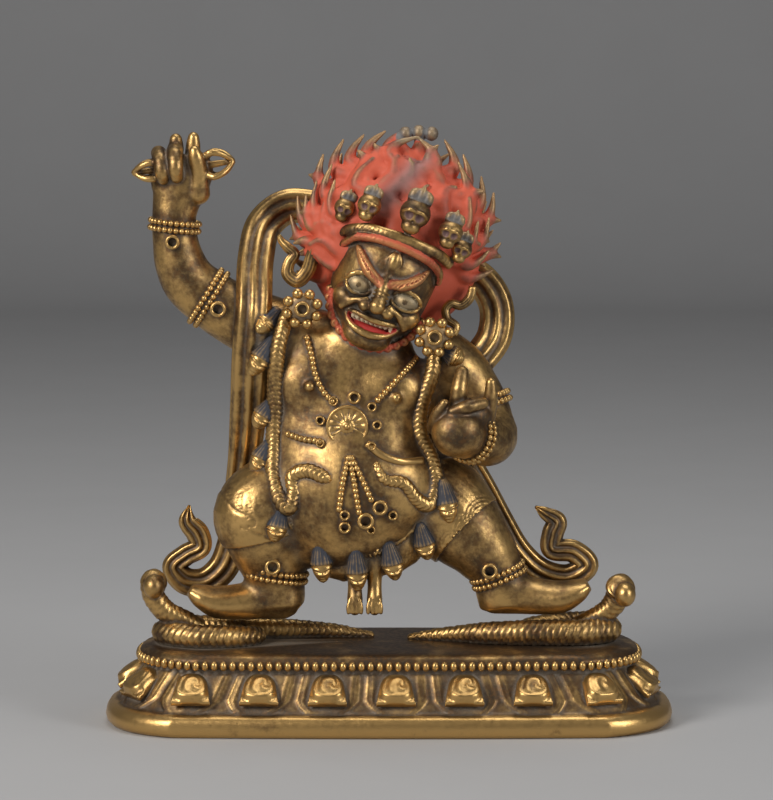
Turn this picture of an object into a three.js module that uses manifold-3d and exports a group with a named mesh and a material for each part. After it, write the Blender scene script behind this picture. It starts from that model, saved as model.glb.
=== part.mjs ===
// A gilt bronze wrathful deity striding over two serpents, and its lotus plinth.
// Millimetres, +Z up, the figure faces -Y and its plinth stands on z = 0.
import * as THREE from "three";
import { mergeVertices } from "three/addons/utils/BufferGeometryUtils.js";
import Module from "manifold-3d";

const wasm = await Module();
wasm.setup();

// Plinth: half sizes of its foot, and the heights of its tiers.
const FOOT_HALF_WIDTH = 77;
const FOOT_HALF_DEPTH = 30;
const FOOT_TOP = 6;
const PETAL_TOP = 15.8;
const RIM_MIDDLE = 19;
const DECK_TOP = 21.6;
const STRAIGHT_SHARE = 0.64;
const PETALS = 19;
const PETAL_START = 1.9;
const PETAL_PITCH = 18.4;
const SCALLOP = 1.6;
const OUTLINE_POINTS = PETALS * 2;

// Figure: where the soles stand, and how the head is set.
const RIGHT_SOLE = 27.8;
const LEFT_SOLE = 29.2;
const SEAT_GAP = 0.3;
const HEAD_CENTRE = [-1.8, -4, 118];
const HEAD_LEAN = THREE.MathUtils.degToRad(20.5);
const HAIR_CENTRE = [1.6, 3, 130];
const HAIR_REACH = [29.5, 31];
const NAPE_REACH = 19;
const LOCKS = 16;
const TOP = 161.6;

// Facets closer than this are run together.
const SMOOTHING = 0.35;

const GILT_BRONZE = { color: "#94764a", metalness: 0.85, roughness: 0.42 };
const WORN_BRONZE = { color: "#86704c", metalness: 0.85, roughness: 0.5 };

const FRONT_TO_BACK = new THREE.Vector3(0, 1, 0);
const UPWARD = new THREE.Vector3(0, 0, 1);

const vector = ([x, y, z]) => new THREE.Vector3(x, y, z);
const spread = (count, make) => Array.from({ length: count }, (_, index) => make(index));
const union = (solids) => wasm.Manifold.union(solids.flat(Infinity));

// A closed surface as a solid.
function solid(geometry) {
  const bare = geometry.clone();
  bare.deleteAttribute("normal");
  bare.deleteAttribute("uv");
  const merged = mergeVertices(bare, 1e-4);
  const mesh = new wasm.Mesh({
    numProp: 3,
    vertProperties: Float32Array.from(merged.attributes.position.array),
    triVerts: Uint32Array.from(merged.index.array),
  });
  return new wasm.Manifold(mesh);
}

// The curve and the half sizes of a strand, both read by the same share of its length.
function courseOf(stations) {
  const curve = new THREE.CatmullRomCurve3(stations.map(vector));
  const sizes = stations.map(([, , , wide, deep = wide]) => new THREE.Vector3(wide, deep, 0));
  return { curve, sizes: new THREE.CatmullRomCurve3(sizes, false, "catmullrom", 0.3) };
}

// A limb, ribbon or cord through stations [x, y, z, half width, half depth].
// The depth lies along `depthAxis`; a fold under 1 draws in every other side as pleats.
function strand(stations, steps, sides, { depthAxis = FRONT_TO_BACK, fold = 1 } = {}) {
  const { curve, sizes } = courseOf(stations);
  const tube = new THREE.CylinderGeometry(1, 1, 1, sides, steps);
  const position = tube.attributes.position;
  for (let i = 0; i < position.count; i += 1) {
    const [x, y, z] = [position.getX(i), position.getY(i), position.getZ(i)];
    const share = y + 0.5;
    const tangent = curve.getTangent(share);
    const across = tangent.clone().cross(depthAxis).normalize();
    const through = across.clone().cross(tangent);
    const size = sizes.getPoint(share);
    const side = Math.round((Math.atan2(x, z) / (2 * Math.PI)) * sides + sides) % 2;
    const pleat = side ? fold : 1;
    const point = curve.getPoint(share);
    point.addScaledVector(across, x * pleat * Math.max(size.x, 0.05));
    point.addScaledVector(through, z * pleat * Math.max(size.y, 0.05));
    position.setXYZ(i, point.x, point.y, point.z);
  }
  return solid(tube);
}

// An ellipsoid at a point, leaned clockwise as seen from the front.
function lobe(centre, radii, { lean = 0, columns = 8, rows = 5 } = {}) {
  const ball = new THREE.SphereGeometry(1, columns, rows);
  ball.scale(...radii).rotateY(lean).translate(...centre);
  return solid(ball);
}

// A small faceted bead.
function bead(centre, radius) {
  return solid(new THREE.OctahedronGeometry(radius).translate(...centre));
}

// A turning that carries +Z onto a direction.
function facing(direction) {
  return new THREE.Quaternion().setFromUnitVectors(UPWARD, vector(direction).normalize());
}

// A ridged ring round a limb, through which the limb passes.
function bracelet(centre, axis, radius, roll = 1.2) {
  const profile = [
    [0, -roll * 1.8],
    [radius + roll * 0.3, -roll * 1.8],
    [radius + roll, -roll * 0.5],
    [radius + roll, roll * 0.5],
    [radius + roll * 0.3, roll * 1.8],
    [0, roll * 1.8],
  ].map(([x, y]) => new THREE.Vector2(x, y));
  const ring = new THREE.LatheGeometry(profile, 8).rotateX(Math.PI / 2);
  return solid(ring.applyQuaternion(facing(axis)).translate(...centre));
}

// An empty gem setting: a short collar with an open cup.
function setting(centre, direction, radius) {
  const profile = [
    [0, -radius],
    [radius, radius * 0.5],
    [radius * 0.55, radius * 0.5],
    [0, -radius * 0.2],
  ].map(([x, y]) => new THREE.Vector2(x, y));
  const collar = new THREE.LatheGeometry(profile, 6).rotateX(Math.PI / 2);
  return solid(collar.applyQuaternion(facing(direction)).translate(...centre));
}

// The y of a standing strand's front surface at a given x and z.
function frontOf(stations, x, z) {
  const { curve, sizes } = courseOf(stations);
  const rising = curve.getPoint(1).z > curve.getPoint(0).z;
  let [low, high] = [0, 1];
  for (let turn = 0; turn < 24; turn += 1) {
    const middle = (low + high) / 2;
    if (curve.getPoint(middle).z < z === rising) low = middle;
    else high = middle;
  }
  const centre = curve.getPoint(low);
  const size = sizes.getPoint(low);
  const offset = THREE.MathUtils.clamp((x - centre.x) / size.x, -0.98, 0.98);
  return centre.y - size.y * Math.sqrt(1 - offset * offset);
}

// The space above a floor that is lower under the right foot than under the left.
function roomAbove(rightFloor, leftFloor) {
  const half = (side, floor) => {
    return solid(new THREE.BoxGeometry(100, 100, 200).translate(side * 50, 0, floor + 100));
  };
  return union([half(-1, rightFloor), half(1, leftFloor)]);
}

// A casting with the specks of void that are sealed between its touching parts filled.
function filled(whole) {
  return union(whole.decompose().filter((shell) => shell.volume() > 0));
}

// Flattens a sine towards its crest, so that the front and back of the plinth run straight.
const roundOff = (sine) => Math.sign(sine) * Math.abs(sine) ** 0.8;

// A point of the plinth's outline in a direction, drawn in by `inset` at a height.
function plinthPoint([across, back], inset, z) {
  return new THREE.Vector3(
    across * (FOOT_HALF_WIDTH - inset),
    back * (FOOT_HALF_DEPTH - inset * 0.76),
    z,
  );
}

// One walk round the plinth's foot, at even steps: a direction [across, back] for each step.
// The front and back are straight, and the ends are half ellipses.
function plinthDirections(count) {
  const straight = FOOT_HALF_WIDTH * STRAIGHT_SHARE;
  const end = FOOT_HALF_WIDTH - straight;
  const walk = spread(1440, (index) => {
    const angle = (index / 1440) * 2 * Math.PI - Math.PI / 2;
    const run = THREE.MathUtils.clamp(Math.cos(angle) * 3, -1, 1);
    const x = run * straight + end * Math.cos(angle);
    return new THREE.Vector3(x, FOOT_HALF_DEPTH * roundOff(Math.sin(angle)), 0);
  });
  const lengths = [0];
  walk.forEach((point, index) => {
    lengths.push(lengths[index] + point.distanceTo(walk[(index + 1) % walk.length]));
  });
  return spread(count, (index) => {
    const target = (index / count) * lengths[walk.length];
    const found = lengths.findIndex((length) => length > target) - 1;
    return [walk[found].x / FOOT_HALF_WIDTH, walk[found].y / FOOT_HALF_DEPTH];
  });
}

// The plinth's body: rings of points at each tier, with the petals' lower edge scalloped.
function plinthBody() {
  const tiers = [
    [1.6, 0, 0],
    [0, 2.6, 0],
    [1.4, 5.2, 0],
    [4, FOOT_TOP + 0.4, 0],
    [4.8, FOOT_TOP + 1.2, SCALLOP],
    [11.2, PETAL_TOP, 0],
    [11, RIM_MIDDLE - 2, 0],
    [9.2, RIM_MIDDLE, 0],
    [11, DECK_TOP, 0],
  ];
  const directions = plinthDirections(OUTLINE_POINTS);
  const rings = tiers.map(([inset, z, scallop]) => {
    return directions.map((direction, index) => {
      return plinthPoint(direction, inset - (index % 2 === 0 ? scallop : 0), z);
    });
  });
  const shell = new THREE.CylinderGeometry(1, 1, 1, OUTLINE_POINTS, tiers.length - 1);
  const position = shell.attributes.position;
  for (let i = 0; i < position.count; i += 1) {
    const [x, y, z] = [position.getX(i), position.getY(i), position.getZ(i)];
    const tier = Math.round((y + 0.5) * (tiers.length - 1));
    const turn = Math.atan2(x, z) / (2 * Math.PI);
    const index = Math.round(turn * OUTLINE_POINTS + OUTLINE_POINTS) % OUTLINE_POINTS;
    const middle = Math.hypot(x, z) < 0.5;
    const spot = middle ? new THREE.Vector3(0, 0, tiers[tier][1]) : rings[tier][index];
    position.setXYZ(i, spot.x, spot.y, spot.z);
  }
  return solid(shell);
}

// The padded lobe on one down-turned petal, sloping outward and down.
function petalPad(here, next) {
  const along = next.clone().sub(here).normalize();
  const outward = new THREE.Vector3(along.y, -along.x, 0);
  const slope = outward.clone().multiplyScalar(0.82).add(new THREE.Vector3(0, 0, -0.57));
  const lift = along.clone().cross(slope).normalize();
  const basis = new THREE.Matrix4().makeBasis(slope.normalize(), lift, along);
  const pad = new THREE.SphereGeometry(1, 6, 3).scale(5.2, 2.2, 5.6);
  return solid(pad.applyMatrix4(basis.setPosition(here)));
}

function petalPads() {
  const perPetal = 20;
  const steps = plinthDirections(PETALS * perPetal);
  const at = (index) => plinthPoint(steps[(index + steps.length) % steps.length], 7.4, 12.6);
  const shift = Math.round((PETAL_START / PETAL_PITCH) * perPetal);
  return spread(PETALS, (index) => {
    return petalPad(at(index * perPetal + shift), at(index * perPetal + shift + 1));
  });
}

// The serpent under each foot: a coil pressed flat by the sole, and a neck rising past the toes.
function tramplingSerpents() {
  const right = [
    [-4, 5, 21.8, 0.9],
    [-16, 5, 23.2, 2],
    [-30, 4, 23.8, 2.9],
    [-43, 3.5, 24.2, 3.2],
    [-54, 3.5, 24.3, 3.3],
    [-61, -3.5, 24.3, 3.3],
    [-54, -10.5, 24.3, 3.3],
    [-45, -11, 24.2, 3.2],
    [-38, -8, 23.8, 2.8],
    [-35, -3, 23.4, 2.2],
  ];
  const left = [
    [5, 2, 21.8, 0.9],
    [16, -1, 23.2, 2],
    [28, -6, 24.4, 3.1],
    [42, -8.4, 25, 3.5],
    [53, -8, 25, 3.5],
    [59.6, -2.5, 25, 3.5],
    [53, 4.5, 25, 3.5],
    [44, 5, 24.6, 3.2],
    [36, 3, 24, 2.6],
  ];
  const necks = [
    [
      [-51, -4, 25.4, 2.4],
      [-55.4, -4.6, 27.8, 2.7],
      [-60.5, -5, 30.3, 3],
      [-63.8, -5.2, 35, 3],
      [-63.6, -6, 38.4, 3.6],
      [-63.3, -8, 40.6, 2.6],
    ],
    [
      [51, -3, 26, 2.4],
      [55.4, -3.5, 28, 2.7],
      [59.5, -4, 30.6, 3],
      [62, -4.6, 34.4, 3.4],
      [62.6, -6, 37, 4],
      [63, -8, 38.6, 2.6],
    ],
  ];
  const coils = union([strand(right, 14, 5), strand(left, 12, 5)]);
  return [
    coils.subtract(roomAbove(RIGHT_SOLE - SEAT_GAP, LEFT_SOLE - SEAT_GAP)),
    necks.map((stations) => strand(stations, 4, 5)),
    lobe([-63.4, -8.4, 37.6], [2.6, 3.2, 2.9], { columns: 5, rows: 3 }),
    lobe([63.6, -8.4, 35.4], [2.8, 3.2, 2.9], { columns: 5, rows: 3 }),
  ];
}

// Trunk, from under the belly to the throat.
const TRUNK = [
  [-6.5, -2, 45, 14, 9],
  [-8, -3, 51, 20, 13.5],
  [-9.2, -3.5, 58, 23, 15.5],
  [-9.6, -3.5, 66, 23.6, 15.8],
  [-9.8, -2.5, 76, 23.2, 14],
  [-9.8, -1.5, 86, 23.2, 12.8],
  [-9.4, -0.5, 94, 23.4, 11.5],
  [-8.5, 0, 101, 21, 10],
  [-6.5, 0, 107, 13, 8],
];

// The point on the trunk's front at x and z, lifted off it a little.
const onTrunk = (x, z, lift = 0) => [x, frontOf(TRUNK, x, z) - lift, z];

function trunk() {
  const nipples = [
    [-21, 92.6],
    [1.7, 89.6],
  ];
  return [strand(TRUNK, 8, 10), nipples.map(([x, z]) => bead(onTrunk(x, z, 0.3), 1.5))];
}

const RIGHT_LEG = [
  [-15, 1, 62, 12, 10.5],
  [-27, -3, 61.5, 12, 11],
  [-35.2, -6, 57, 11.4, 10.5],
  [-34, -6, 50.5, 10.2, 9.4],
  [-31.6, -4.5, 44, 9.2, 8],
  [-30.4, -3.5, 37.5, 7.7, 6.8],
  [-30, -3.5, 32, 7, 6.4],
];
const LEFT_LEG = [
  [7, 1, 63, 12.8, 10.5],
  [14, -1, 58.3, 13, 11.3],
  [20.8, -3, 52, 11.2, 10.5],
  [26.4, -3.4, 45.5, 8.8, 8.6],
  [30, -3.5, 39.5, 6.9, 6.8],
  [31.2, -3.5, 32, 6.5, 6.2],
];

// A foot lying along x on its sole, heel first, with the toes turned up.
function foot(toward, sole) {
  const middle = toward * 30.5;
  const stations = [
    [-6, -3.2, 4, 2.8, 3.2],
    [-3.6, -3.4, 4.8, 4.9, 5.4],
    [2, -3.6, 5.8, 5.8, 6],
    [9, -4.2, 5, 5, 6.4],
    [16, -4.8, 5, 4.4, 6.8],
    [20.5, -5, 6.8, 3.2, 6.4],
    [23.4, -5, 8.6, 1.7, 5],
  ].map(([x, y, z, ...sizes]) => [middle + toward * x, y, sole + z, ...sizes]);
  return strand(stations, 6, 7);
}

function legs() {
  return [strand(RIGHT_LEG, 6, 7), strand(LEFT_LEG, 5, 7), foot(-1, RIGHT_SOLE), foot(1, LEFT_SOLE)];
}

// The tiger skin: a shell over each thigh, a hanging front, two paws and a rope trim.
function tigerSkin() {
  const grown = (stations, count) => {
    return stations.slice(0, count).map(([x, y, z, wide, deep]) => {
      return [x, y, z, wide + 0.8, deep + 0.8];
    });
  };
  const apron = [
    [-7, -3, 58, 21.5, 13.5],
    [-6.5, -4.5, 51, 19.5, 11.5],
    [-5.5, -6, 46, 16, 8.5],
    [-5, -7, 42.5, 13, 5.5],
    [-4.6, -7.5, 40, 8, 3.4],
  ];
  const trim = spread(7, (index) => {
    const share = index / 6;
    const x = -27 + 37 * share;
    const z = 51 + 9.4 * (2 * share - 1) ** 2;
    return [x, frontOf(TRUNK, x, z) - 0.2, z, 1.9, 1.5];
  });
  const paws = [-9.2, -3.9].map((x) => {
    const hanging = [
      [x, -10, 45, 2.6, 3],
      [x, -11, 38, 2, 2],
      [x, -12, 33.4, 2.4, 2],
      [x, -12.2, 31, 1.6, 1.2],
    ];
    return strand(hanging, 3, 5);
  });
  return [
    strand(grown(RIGHT_LEG, 4), 3, 7),
    strand(grown(LEFT_LEG, 3), 2, 7),
    strand(apron, 3, 10, { fold: 0.92 }),
    paws,
    strand(trim, 6, 3),
  ];
}

const RIGHT_ARM = [
  [-20, 1, 101, 10, 9.5],
  [-31, 0.5, 105.5, 9.6, 9],
  [-42.5, 0, 110.9, 8.3, 8.3],
  [-49, 0, 115.3, 7.8, 7.8],
  [-53.8, -0.6, 119.6, 7.4, 7.4],
  [-56.3, -1.2, 125, 6.8, 6.8],
  [-57.4, -1.8, 131, 6.1, 6],
  [-57.6, -2.2, 137, 5.9, 5.2],
  [-56.4, -2.5, 143.5, 7.4, 4.8],
  [-55.6, -2.5, 149.5, 8.6, 4.8],
  [-55.6, -2.5, 153.6, 7.2, 4],
];
const LEFT_ARM = [
  [11, 1, 99, 9.6, 9],
  [18, 1.5, 95, 8.6, 8.4],
  [22.6, 1, 89.5, 7.7, 7.8],
  [25.6, -0.5, 83.6, 7.4, 7.3],
  [27, -3, 78, 7.2, 7.2],
];
const LEFT_FOREARM = [
  [27.6, -1, 77.6, 7.4, 7.2],
  [26.2, -6.5, 77.2, 7.4, 7.2],
  [23.4, -11.5, 78, 6.4, 6.4],
  [20, -15.5, 79.8, 6.2, 6.4],
];

function arms() {
  return [
    strand(RIGHT_ARM, 9, 7),
    strand(LEFT_ARM, 4, 7),
    strand(LEFT_FOREARM, 2, 7, { depthAxis: UPWARD }),
  ];
}

// Raised right hand: the middle fingers and thumb close on the thunderbolt.
function rightHand() {
  const straight = [
    [
      [-56.4, -2, 152, 2.2],
      [-56.6, -2.2, 156.4, 1.9],
      [-56.6, -2.4, 158, 1.2],
    ],
    [
      [-52, -2, 152, 2.3],
      [-52, -2.2, 157, 2],
      [-52, -2.4, 158.6, 1.2],
    ],
  ];
  const thumb = [
    [-51, -4, 143.5, 3.2],
    [-50.6, -6, 149, 2.2],
    [-51.2, -7, 153, 2],
    [-51.4, -7, 155.2, 1.2],
  ];
  return [
    straight.map((stations) => strand(stations, 2, 5)),
    strand(thumb, 3, 5),
    lobe([-60.6, -6.4, 150.4], [2.2, 3.2, 4], { columns: 6, rows: 4 }),
    lobe([-56.7, -6.8, 151.8], [2.4, 3.2, 4.4], { columns: 6, rows: 4 }),
  ];
}

// Half of the thunderbolt: four prongs that swell out and close at a tip.
function thunderboltHead(root, tip, swell) {
  const start = vector(root);
  const axis = vector(tip).sub(start);
  const turn = facing(axis.toArray());
  const prongs = spread(4, (index) => {
    const angle = (index + 0.5) * (Math.PI / 2);
    const out = new THREE.Vector3(Math.cos(angle), Math.sin(angle), 0).applyQuaternion(turn);
    const stations = [
      [0, 0.35, 1.4],
      [0.5, 1, 1.2],
      [1, 0.1, 1],
    ].map(([share, reach, size]) => {
      const spot = start.clone().addScaledVector(axis, share);
      return [...spot.addScaledVector(out, reach * swell).toArray(), size];
    });
    return strand(stations, 2, 3);
  });
  return prongs;
}

function thunderbolt() {
  return [
    thunderboltHead([-60.5, -4.8, 149.8], [-68, -5.6, 149], 3.2),
    thunderboltHead([-50, -4, 150.6], [-41.6, -4.6, 152], 4.8),
    strand([[-62, -4.9, 149.6, 1.8], [-49, -4, 150.6, 1.8]], 1, 5),
  ];
}

// Left hand before the chest: heel to the front, first and last fingers raised.
function leftHand() {
  const fingers = [
    [
      [18, -17, 86, 2.4],
      [18.6, -18, 92, 2.3],
      [19.4, -16.5, 96.5, 1.8],
    ],
    [
      [26, -14.6, 84.5, 2.4],
      [27, -16, 90, 1.9],
      [27, -16.4, 93.8, 1.4],
    ],
    [
      [24.8, -19.5, 88.6, 1.6],
      [21, -21.5, 88, 1.9],
      [16.8, -21, 86.6, 1.5],
    ],
    [
      [12.4, -16.5, 82, 2.4],
      [13, -19.4, 86, 1.8],
      [14.6, -20.6, 88.8, 1.2],
    ],
  ];
  return [
    lobe([18.4, -18.6, 80.8], [7.2, 5.8, 7], { columns: 8, rows: 5 }),
    lobe([20.8, -16.4, 85.4], [6.4, 4, 4.4], { columns: 6, rows: 3 }),
    fingers.map((stations) => strand(stations, 2, 5)),
  ];
}

// Solids made round the upright head are leaned and set on the neck together.
function setHead(solids) {
  const leaned = new THREE.Matrix4().makeRotationY(HEAD_LEAN).setPosition(vector(HEAD_CENTRE));
  return union(solids).transform(leaned.elements);
}

// Skull, jaw, and the features of the face; the mirrored ones are made in pairs.
function face() {
  const pair = (make) => [-1, 1].map(make);
  const brow = (side) => {
    const stations = [
      [side * 2, -13, 2.6, 1.2, 1.2],
      [side * 5.5, -12.4, 4, 1.5, 1.3],
      [side * 8.6, -10.4, 6, 1.6, 1.2],
      [side * 10.6, -8.2, 9, 0.6, 0.6],
    ];
    return strand(stations, 3, 4);
  };
  const lips = spread(2, (index) => {
    const lower = index === 1;
    const stations = [
      [-7.2, -8.4, -7.6, 0.6, 0.8],
      [-3.6, -11.8, lower ? -11.6 : -7.8, 1.1, 1.2],
      [0, -12.6, lower ? -12.6 : -7.9, 1.2, 1.3],
      [3.6, -11.8, lower ? -11.6 : -7.8, 1.1, 1.2],
      [7, -8.4, -7.6, 0.6, 0.8],
    ];
    return strand(stations, 4, 4);
  });
  const beard = spread(11, (index) => {
    const angle = THREE.MathUtils.degToRad(-80 + 16 * index);
    const size = index % 2 ? 2.3 : 1.4;
    const spot = [12.8 * Math.sin(angle), -2 - 4 * Math.cos(angle), -3.4 - 11.8 * Math.cos(angle)];
    return [...spot, size, size];
  });
  const skull = [
    [0, -4.4, -16.4, 3, 3],
    [0, -2.4, -13, 8.6, 7.6],
    [0, -1, -7, 12.4, 10.6],
    [0, 0, 0, 14.2, 12],
    [0, 0, 7, 14.2, 12.4],
    [0, 0, 13, 10.8, 9.6],
    [0, 0, 17, 3.4, 3],
  ];
  return [
    strand(skull, 7, 10),
    pair((side) => lobe([side * 7.4, -8.2, -4], [4.2, 3.4, 3.4], { columns: 6, rows: 3 })),
    pair((side) => lobe([side * 6.5, -10.4, -0.4], [3.6, 2.5, 2.6], { columns: 6, rows: 4 })),
    lobe([0, -12.4, -3.6], [4.4, 3, 2.6], { columns: 6, rows: 4 }),
    bead([0.2, -11.6, 6.8], 2.2),
    pair((side) => lobe([side * 14.4, 0.6, 0], [3, 3.2, 7.6], { columns: 5, rows: 4 })),
    pair(brow),
    lips,
    strand(beard, 10, 4),
  ];
}

// The diadem: a band arched over the brow with a row of skulls, each with a leaf above.
function diadem() {
  const band = spread(9, (index) => {
    const side = index / 4 - 1;
    const across = Math.sin(side * 1.35);
    return [17 * across, 1.5 - 12.4 * Math.cos(side * 1.35), 15.2 - 5 * side * side, 1.3, 2.2];
  });
  const skulls = [
    [-16.4, -4.4, 15.6, 3],
    [-10.6, -8.4, 19, 3.5],
    [0.8, -10.8, 20.6, 4.3],
    [11, -8.4, 19, 3.5],
    [16.4, -4.4, 15, 3],
  ];
  return [
    strand(band, 7, 4, { depthAxis: UPWARD }),
    skulls.map(([x, y, z, size]) => {
      const stations = [
        [-1.1, -0.2, 0.5],
        [0.1, 0, 0.98],
        [1.2, 0.2, 0.6],
        [1.9, 0.4, 0.62],
        [2.6, 0.4, 0.06],
      ].map(([up, back, wide]) => {
        return [x, y + size * back, z + size * up, size * wide, size * Math.min(wide, 0.9)];
      });
      return strand(stations, 4, 5);
    }),
  ];
}

// A tier of flaming hair: a flattened ball whose columns are locks and the grooves between,
// with every lock running out past its groove and curling over at the tip.
function hairTier(locks, size, rows, { front, back, groove }) {
  const ball = new THREE.SphereGeometry(1, locks * 2, rows);
  const position = ball.attributes.position;
  for (let i = 0; i < position.count; i += 1) {
    const [x, y, z] = [position.getX(i), position.getY(i), position.getZ(i)];
    const turn = Math.atan2(x, z);
    const index = Math.round((turn / Math.PI) * locks + locks * 2);
    const out = Math.hypot(x, z);
    const grooved = index % 2 === 1;
    const reach = size * out ** 0.8 * (grooved ? 1 - groove * out : 1);
    const curl = (grooved ? 0.03 : 0.14) * Math.sin(out * 4.2 - 1.2) * out;
    const angle = turn + (turn < 0.12 ? curl : -curl);
    const height = Math.cos(angle) > 0 ? HAIR_REACH[1] : NAPE_REACH;
    position.setXYZ(
      i,
      HAIR_CENTRE[0] + HAIR_REACH[0] * reach * Math.sin(angle),
      (y < 0 ? front : back) * y + HAIR_CENTRE[1] + (grooved ? 1.3 : -1.3) * out,
      HAIR_CENTRE[2] + height * reach * Math.cos(angle),
    );
  }
  return solid(ball);
}

function hair() {
  const finial = [-3.6, 0, 3.2].map((x) => {
    return bead([HAIR_CENTRE[0] + 6.6 + x, 3, TOP - 2.2 - Math.abs(x) * 0.2], 2.2);
  });
  return [
    hairTier(LOCKS, 1.02, 6, { front: 9, back: 8, groove: 0.14 }),
    hairTier(LOCKS - 4, 0.8, 4, { front: 13, back: 12, groove: 0.12 }),
    finial,
  ];
}

// A severed head hung by its knot of hair: the hair widens to a cap, the face is below.
function severedHead([root, chin]) {
  const stations = [
    [0, 1.6],
    [0.5, 3.3],
    [0.66, 2.9],
    [1, 1.2],
  ].map(([share, size]) => {
    const spot = vector(root).lerp(vector(chin), share);
    return [...spot.toArray(), size, size * 0.85];
  });
  return strand(stations, 3, 5);
}

const SEVERED_HEADS = [
  [[-29.5, -6, 112.5], [-35.3, -10.5, 106.6]],
  [[-30.4, -9, 105.4], [-37.2, -10.5, 95]],
  [[-31, -8, 88.3], [-36, -8.5, 80.6]],
  [[-31.4, -8.5, 77.6], [-36.6, -9.5, 68.4]],
  [[-28.8, -15, 59.8], [-30.8, -16.8, 51]],
  [[-18.7, -13.6, 51.4], [-17.6, -13.2, 39.4]],
  [[-9, -15, 49.4], [-8.3, -13.6, 37.2]],
  [[-0.4, -14.6, 51], [1.9, -13, 40]],
  [[8, -12.4, 55.6], [10.6, -10.6, 45.2]],
  [[14.2, -11.4, 67.2], [16.4, -13.2, 55.4]],
  [[14, -8.6, 101.6], [20, -10, 99]],
];

// The serpent worn as a garland: a strand down each side that loops back onto the belly.
function garland() {
  const right = [
    [-24.8, -2, 114.5, 1.8],
    [-27.4, -9, 110.4, 2.2],
    [-29.9, -10.4, 101, 2.5],
    [-30.4, -8.4, 89, 2.7],
    [-30.8, -8.4, 77, 2.7],
    [-31, -11, 69.5, 2.7],
    [-29.4, -14.8, 62.6, 2.7],
    [-26.9, -16, 60.2, 2.6],
    [-25.4, -15.6, 64, 2.3],
    [-25.6, -15.4, 68.4, 2.3],
    [-22, -16.8, 70.2, 2.3],
    [-17.4, -18.6, 68.8, 2.2],
    [-15, -19.2, 67.6, 0.7],
  ];
  const left = [
    [12.5, -7, 103, 2],
    [11.6, -8.8, 96, 2.4],
    [8.4, -9.6, 86, 2.5],
    [8.4, -10.2, 79, 2.5],
    [11, -9.6, 73, 2.5],
    [12.4, -10.2, 66, 2.5],
    [10.4, -13, 60.6, 2.4],
    [7.2, -15.2, 62.4, 2.2],
    [3.6, -17.2, 67, 2],
    [-1.4, -18.4, 68.2, 1.8],
    [-3.9, -17.8, 72.8, 1.1],
  ];
  return [
    strand(right, 16, 4),
    strand(left, 13, 4),
    SEVERED_HEADS.map(severedHead),
  ];
}

// The scarf: a pleated band over each shoulder, ending in a flame of folds by each leg.
function scarf() {
  const right = [
    [-18, 11, 138.4, 4.6, 1.8],
    [-27.6, 11, 138.8, 4.8, 1.9],
    [-33.6, 8, 134.4, 4.9, 1.9],
    [-35.8, 0, 126, 4.9, 1.9],
    [-36.2, -8, 113, 4.9, 1.9],
    [-37.2, -6.5, 100, 5, 1.9],
    [-38, -1, 84.8, 5, 1.9],
    [-39.6, 5, 69, 4.4, 1.9],
    [-41.6, 8.5, 55, 4.2, 1.9],
    [-43, 9, 46.3, 4.2, 1.9],
    [-45.8, 9, 39.6, 4.2, 1.8],
    [-50.6, 8.8, 36, 4, 1.8],
    [-55.8, 8.4, 36.4, 3.8, 1.8],
    [-58.9, 8, 40.4, 3.2, 1.7],
    [-55.6, 8, 43.6, 3, 1.6],
    [-51.6, 8, 46, 3, 1.6],
    [-52.4, 8, 49.6, 3.2, 1.6],
    [-55, 8, 53, 2.6, 1.4],
    [-54.6, 8, 57.4, 0.4, 0.5],
  ];
  const left = [
    [15, 11, 122, 4.2, 1.8],
    [23.6, 10, 120, 4.6, 1.9],
    [28.8, 8.6, 113, 4.7, 1.9],
    [28.6, 7, 104, 4.8, 1.9],
    [22.6, 3, 96, 4.6, 1.9],
  ];
  const leftTail = [
    [22, 4, 70, 3, 1.8],
    [26, 5.6, 63, 3, 1.8],
    [31, 7.4, 53, 3.2, 1.8],
    [35.8, 8.4, 44.6, 3.4, 1.8],
    [42, 9, 38.8, 3.6, 1.8],
    [49.2, 8.8, 37.4, 3.6, 1.8],
    [54, 8.2, 40.8, 3.4, 1.7],
    [50.4, 8, 44.6, 3.2, 1.6],
    [44.6, 8, 45.4, 3, 1.6],
    [44.8, 8, 49.6, 3, 1.6],
    [45.8, 8, 52.8, 2.8, 1.5],
    [42.6, 8, 55.2, 1.8, 1.2],
    [39.9, 8, 57, 0.4, 0.5],
  ];
  const pleats = { fold: 0.72 };
  return [
    strand(right, 20, 6, pleats),
    strand(left, 5, 6, pleats),
    strand(leftTail, 13, 6, pleats),
  ];
}

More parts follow.
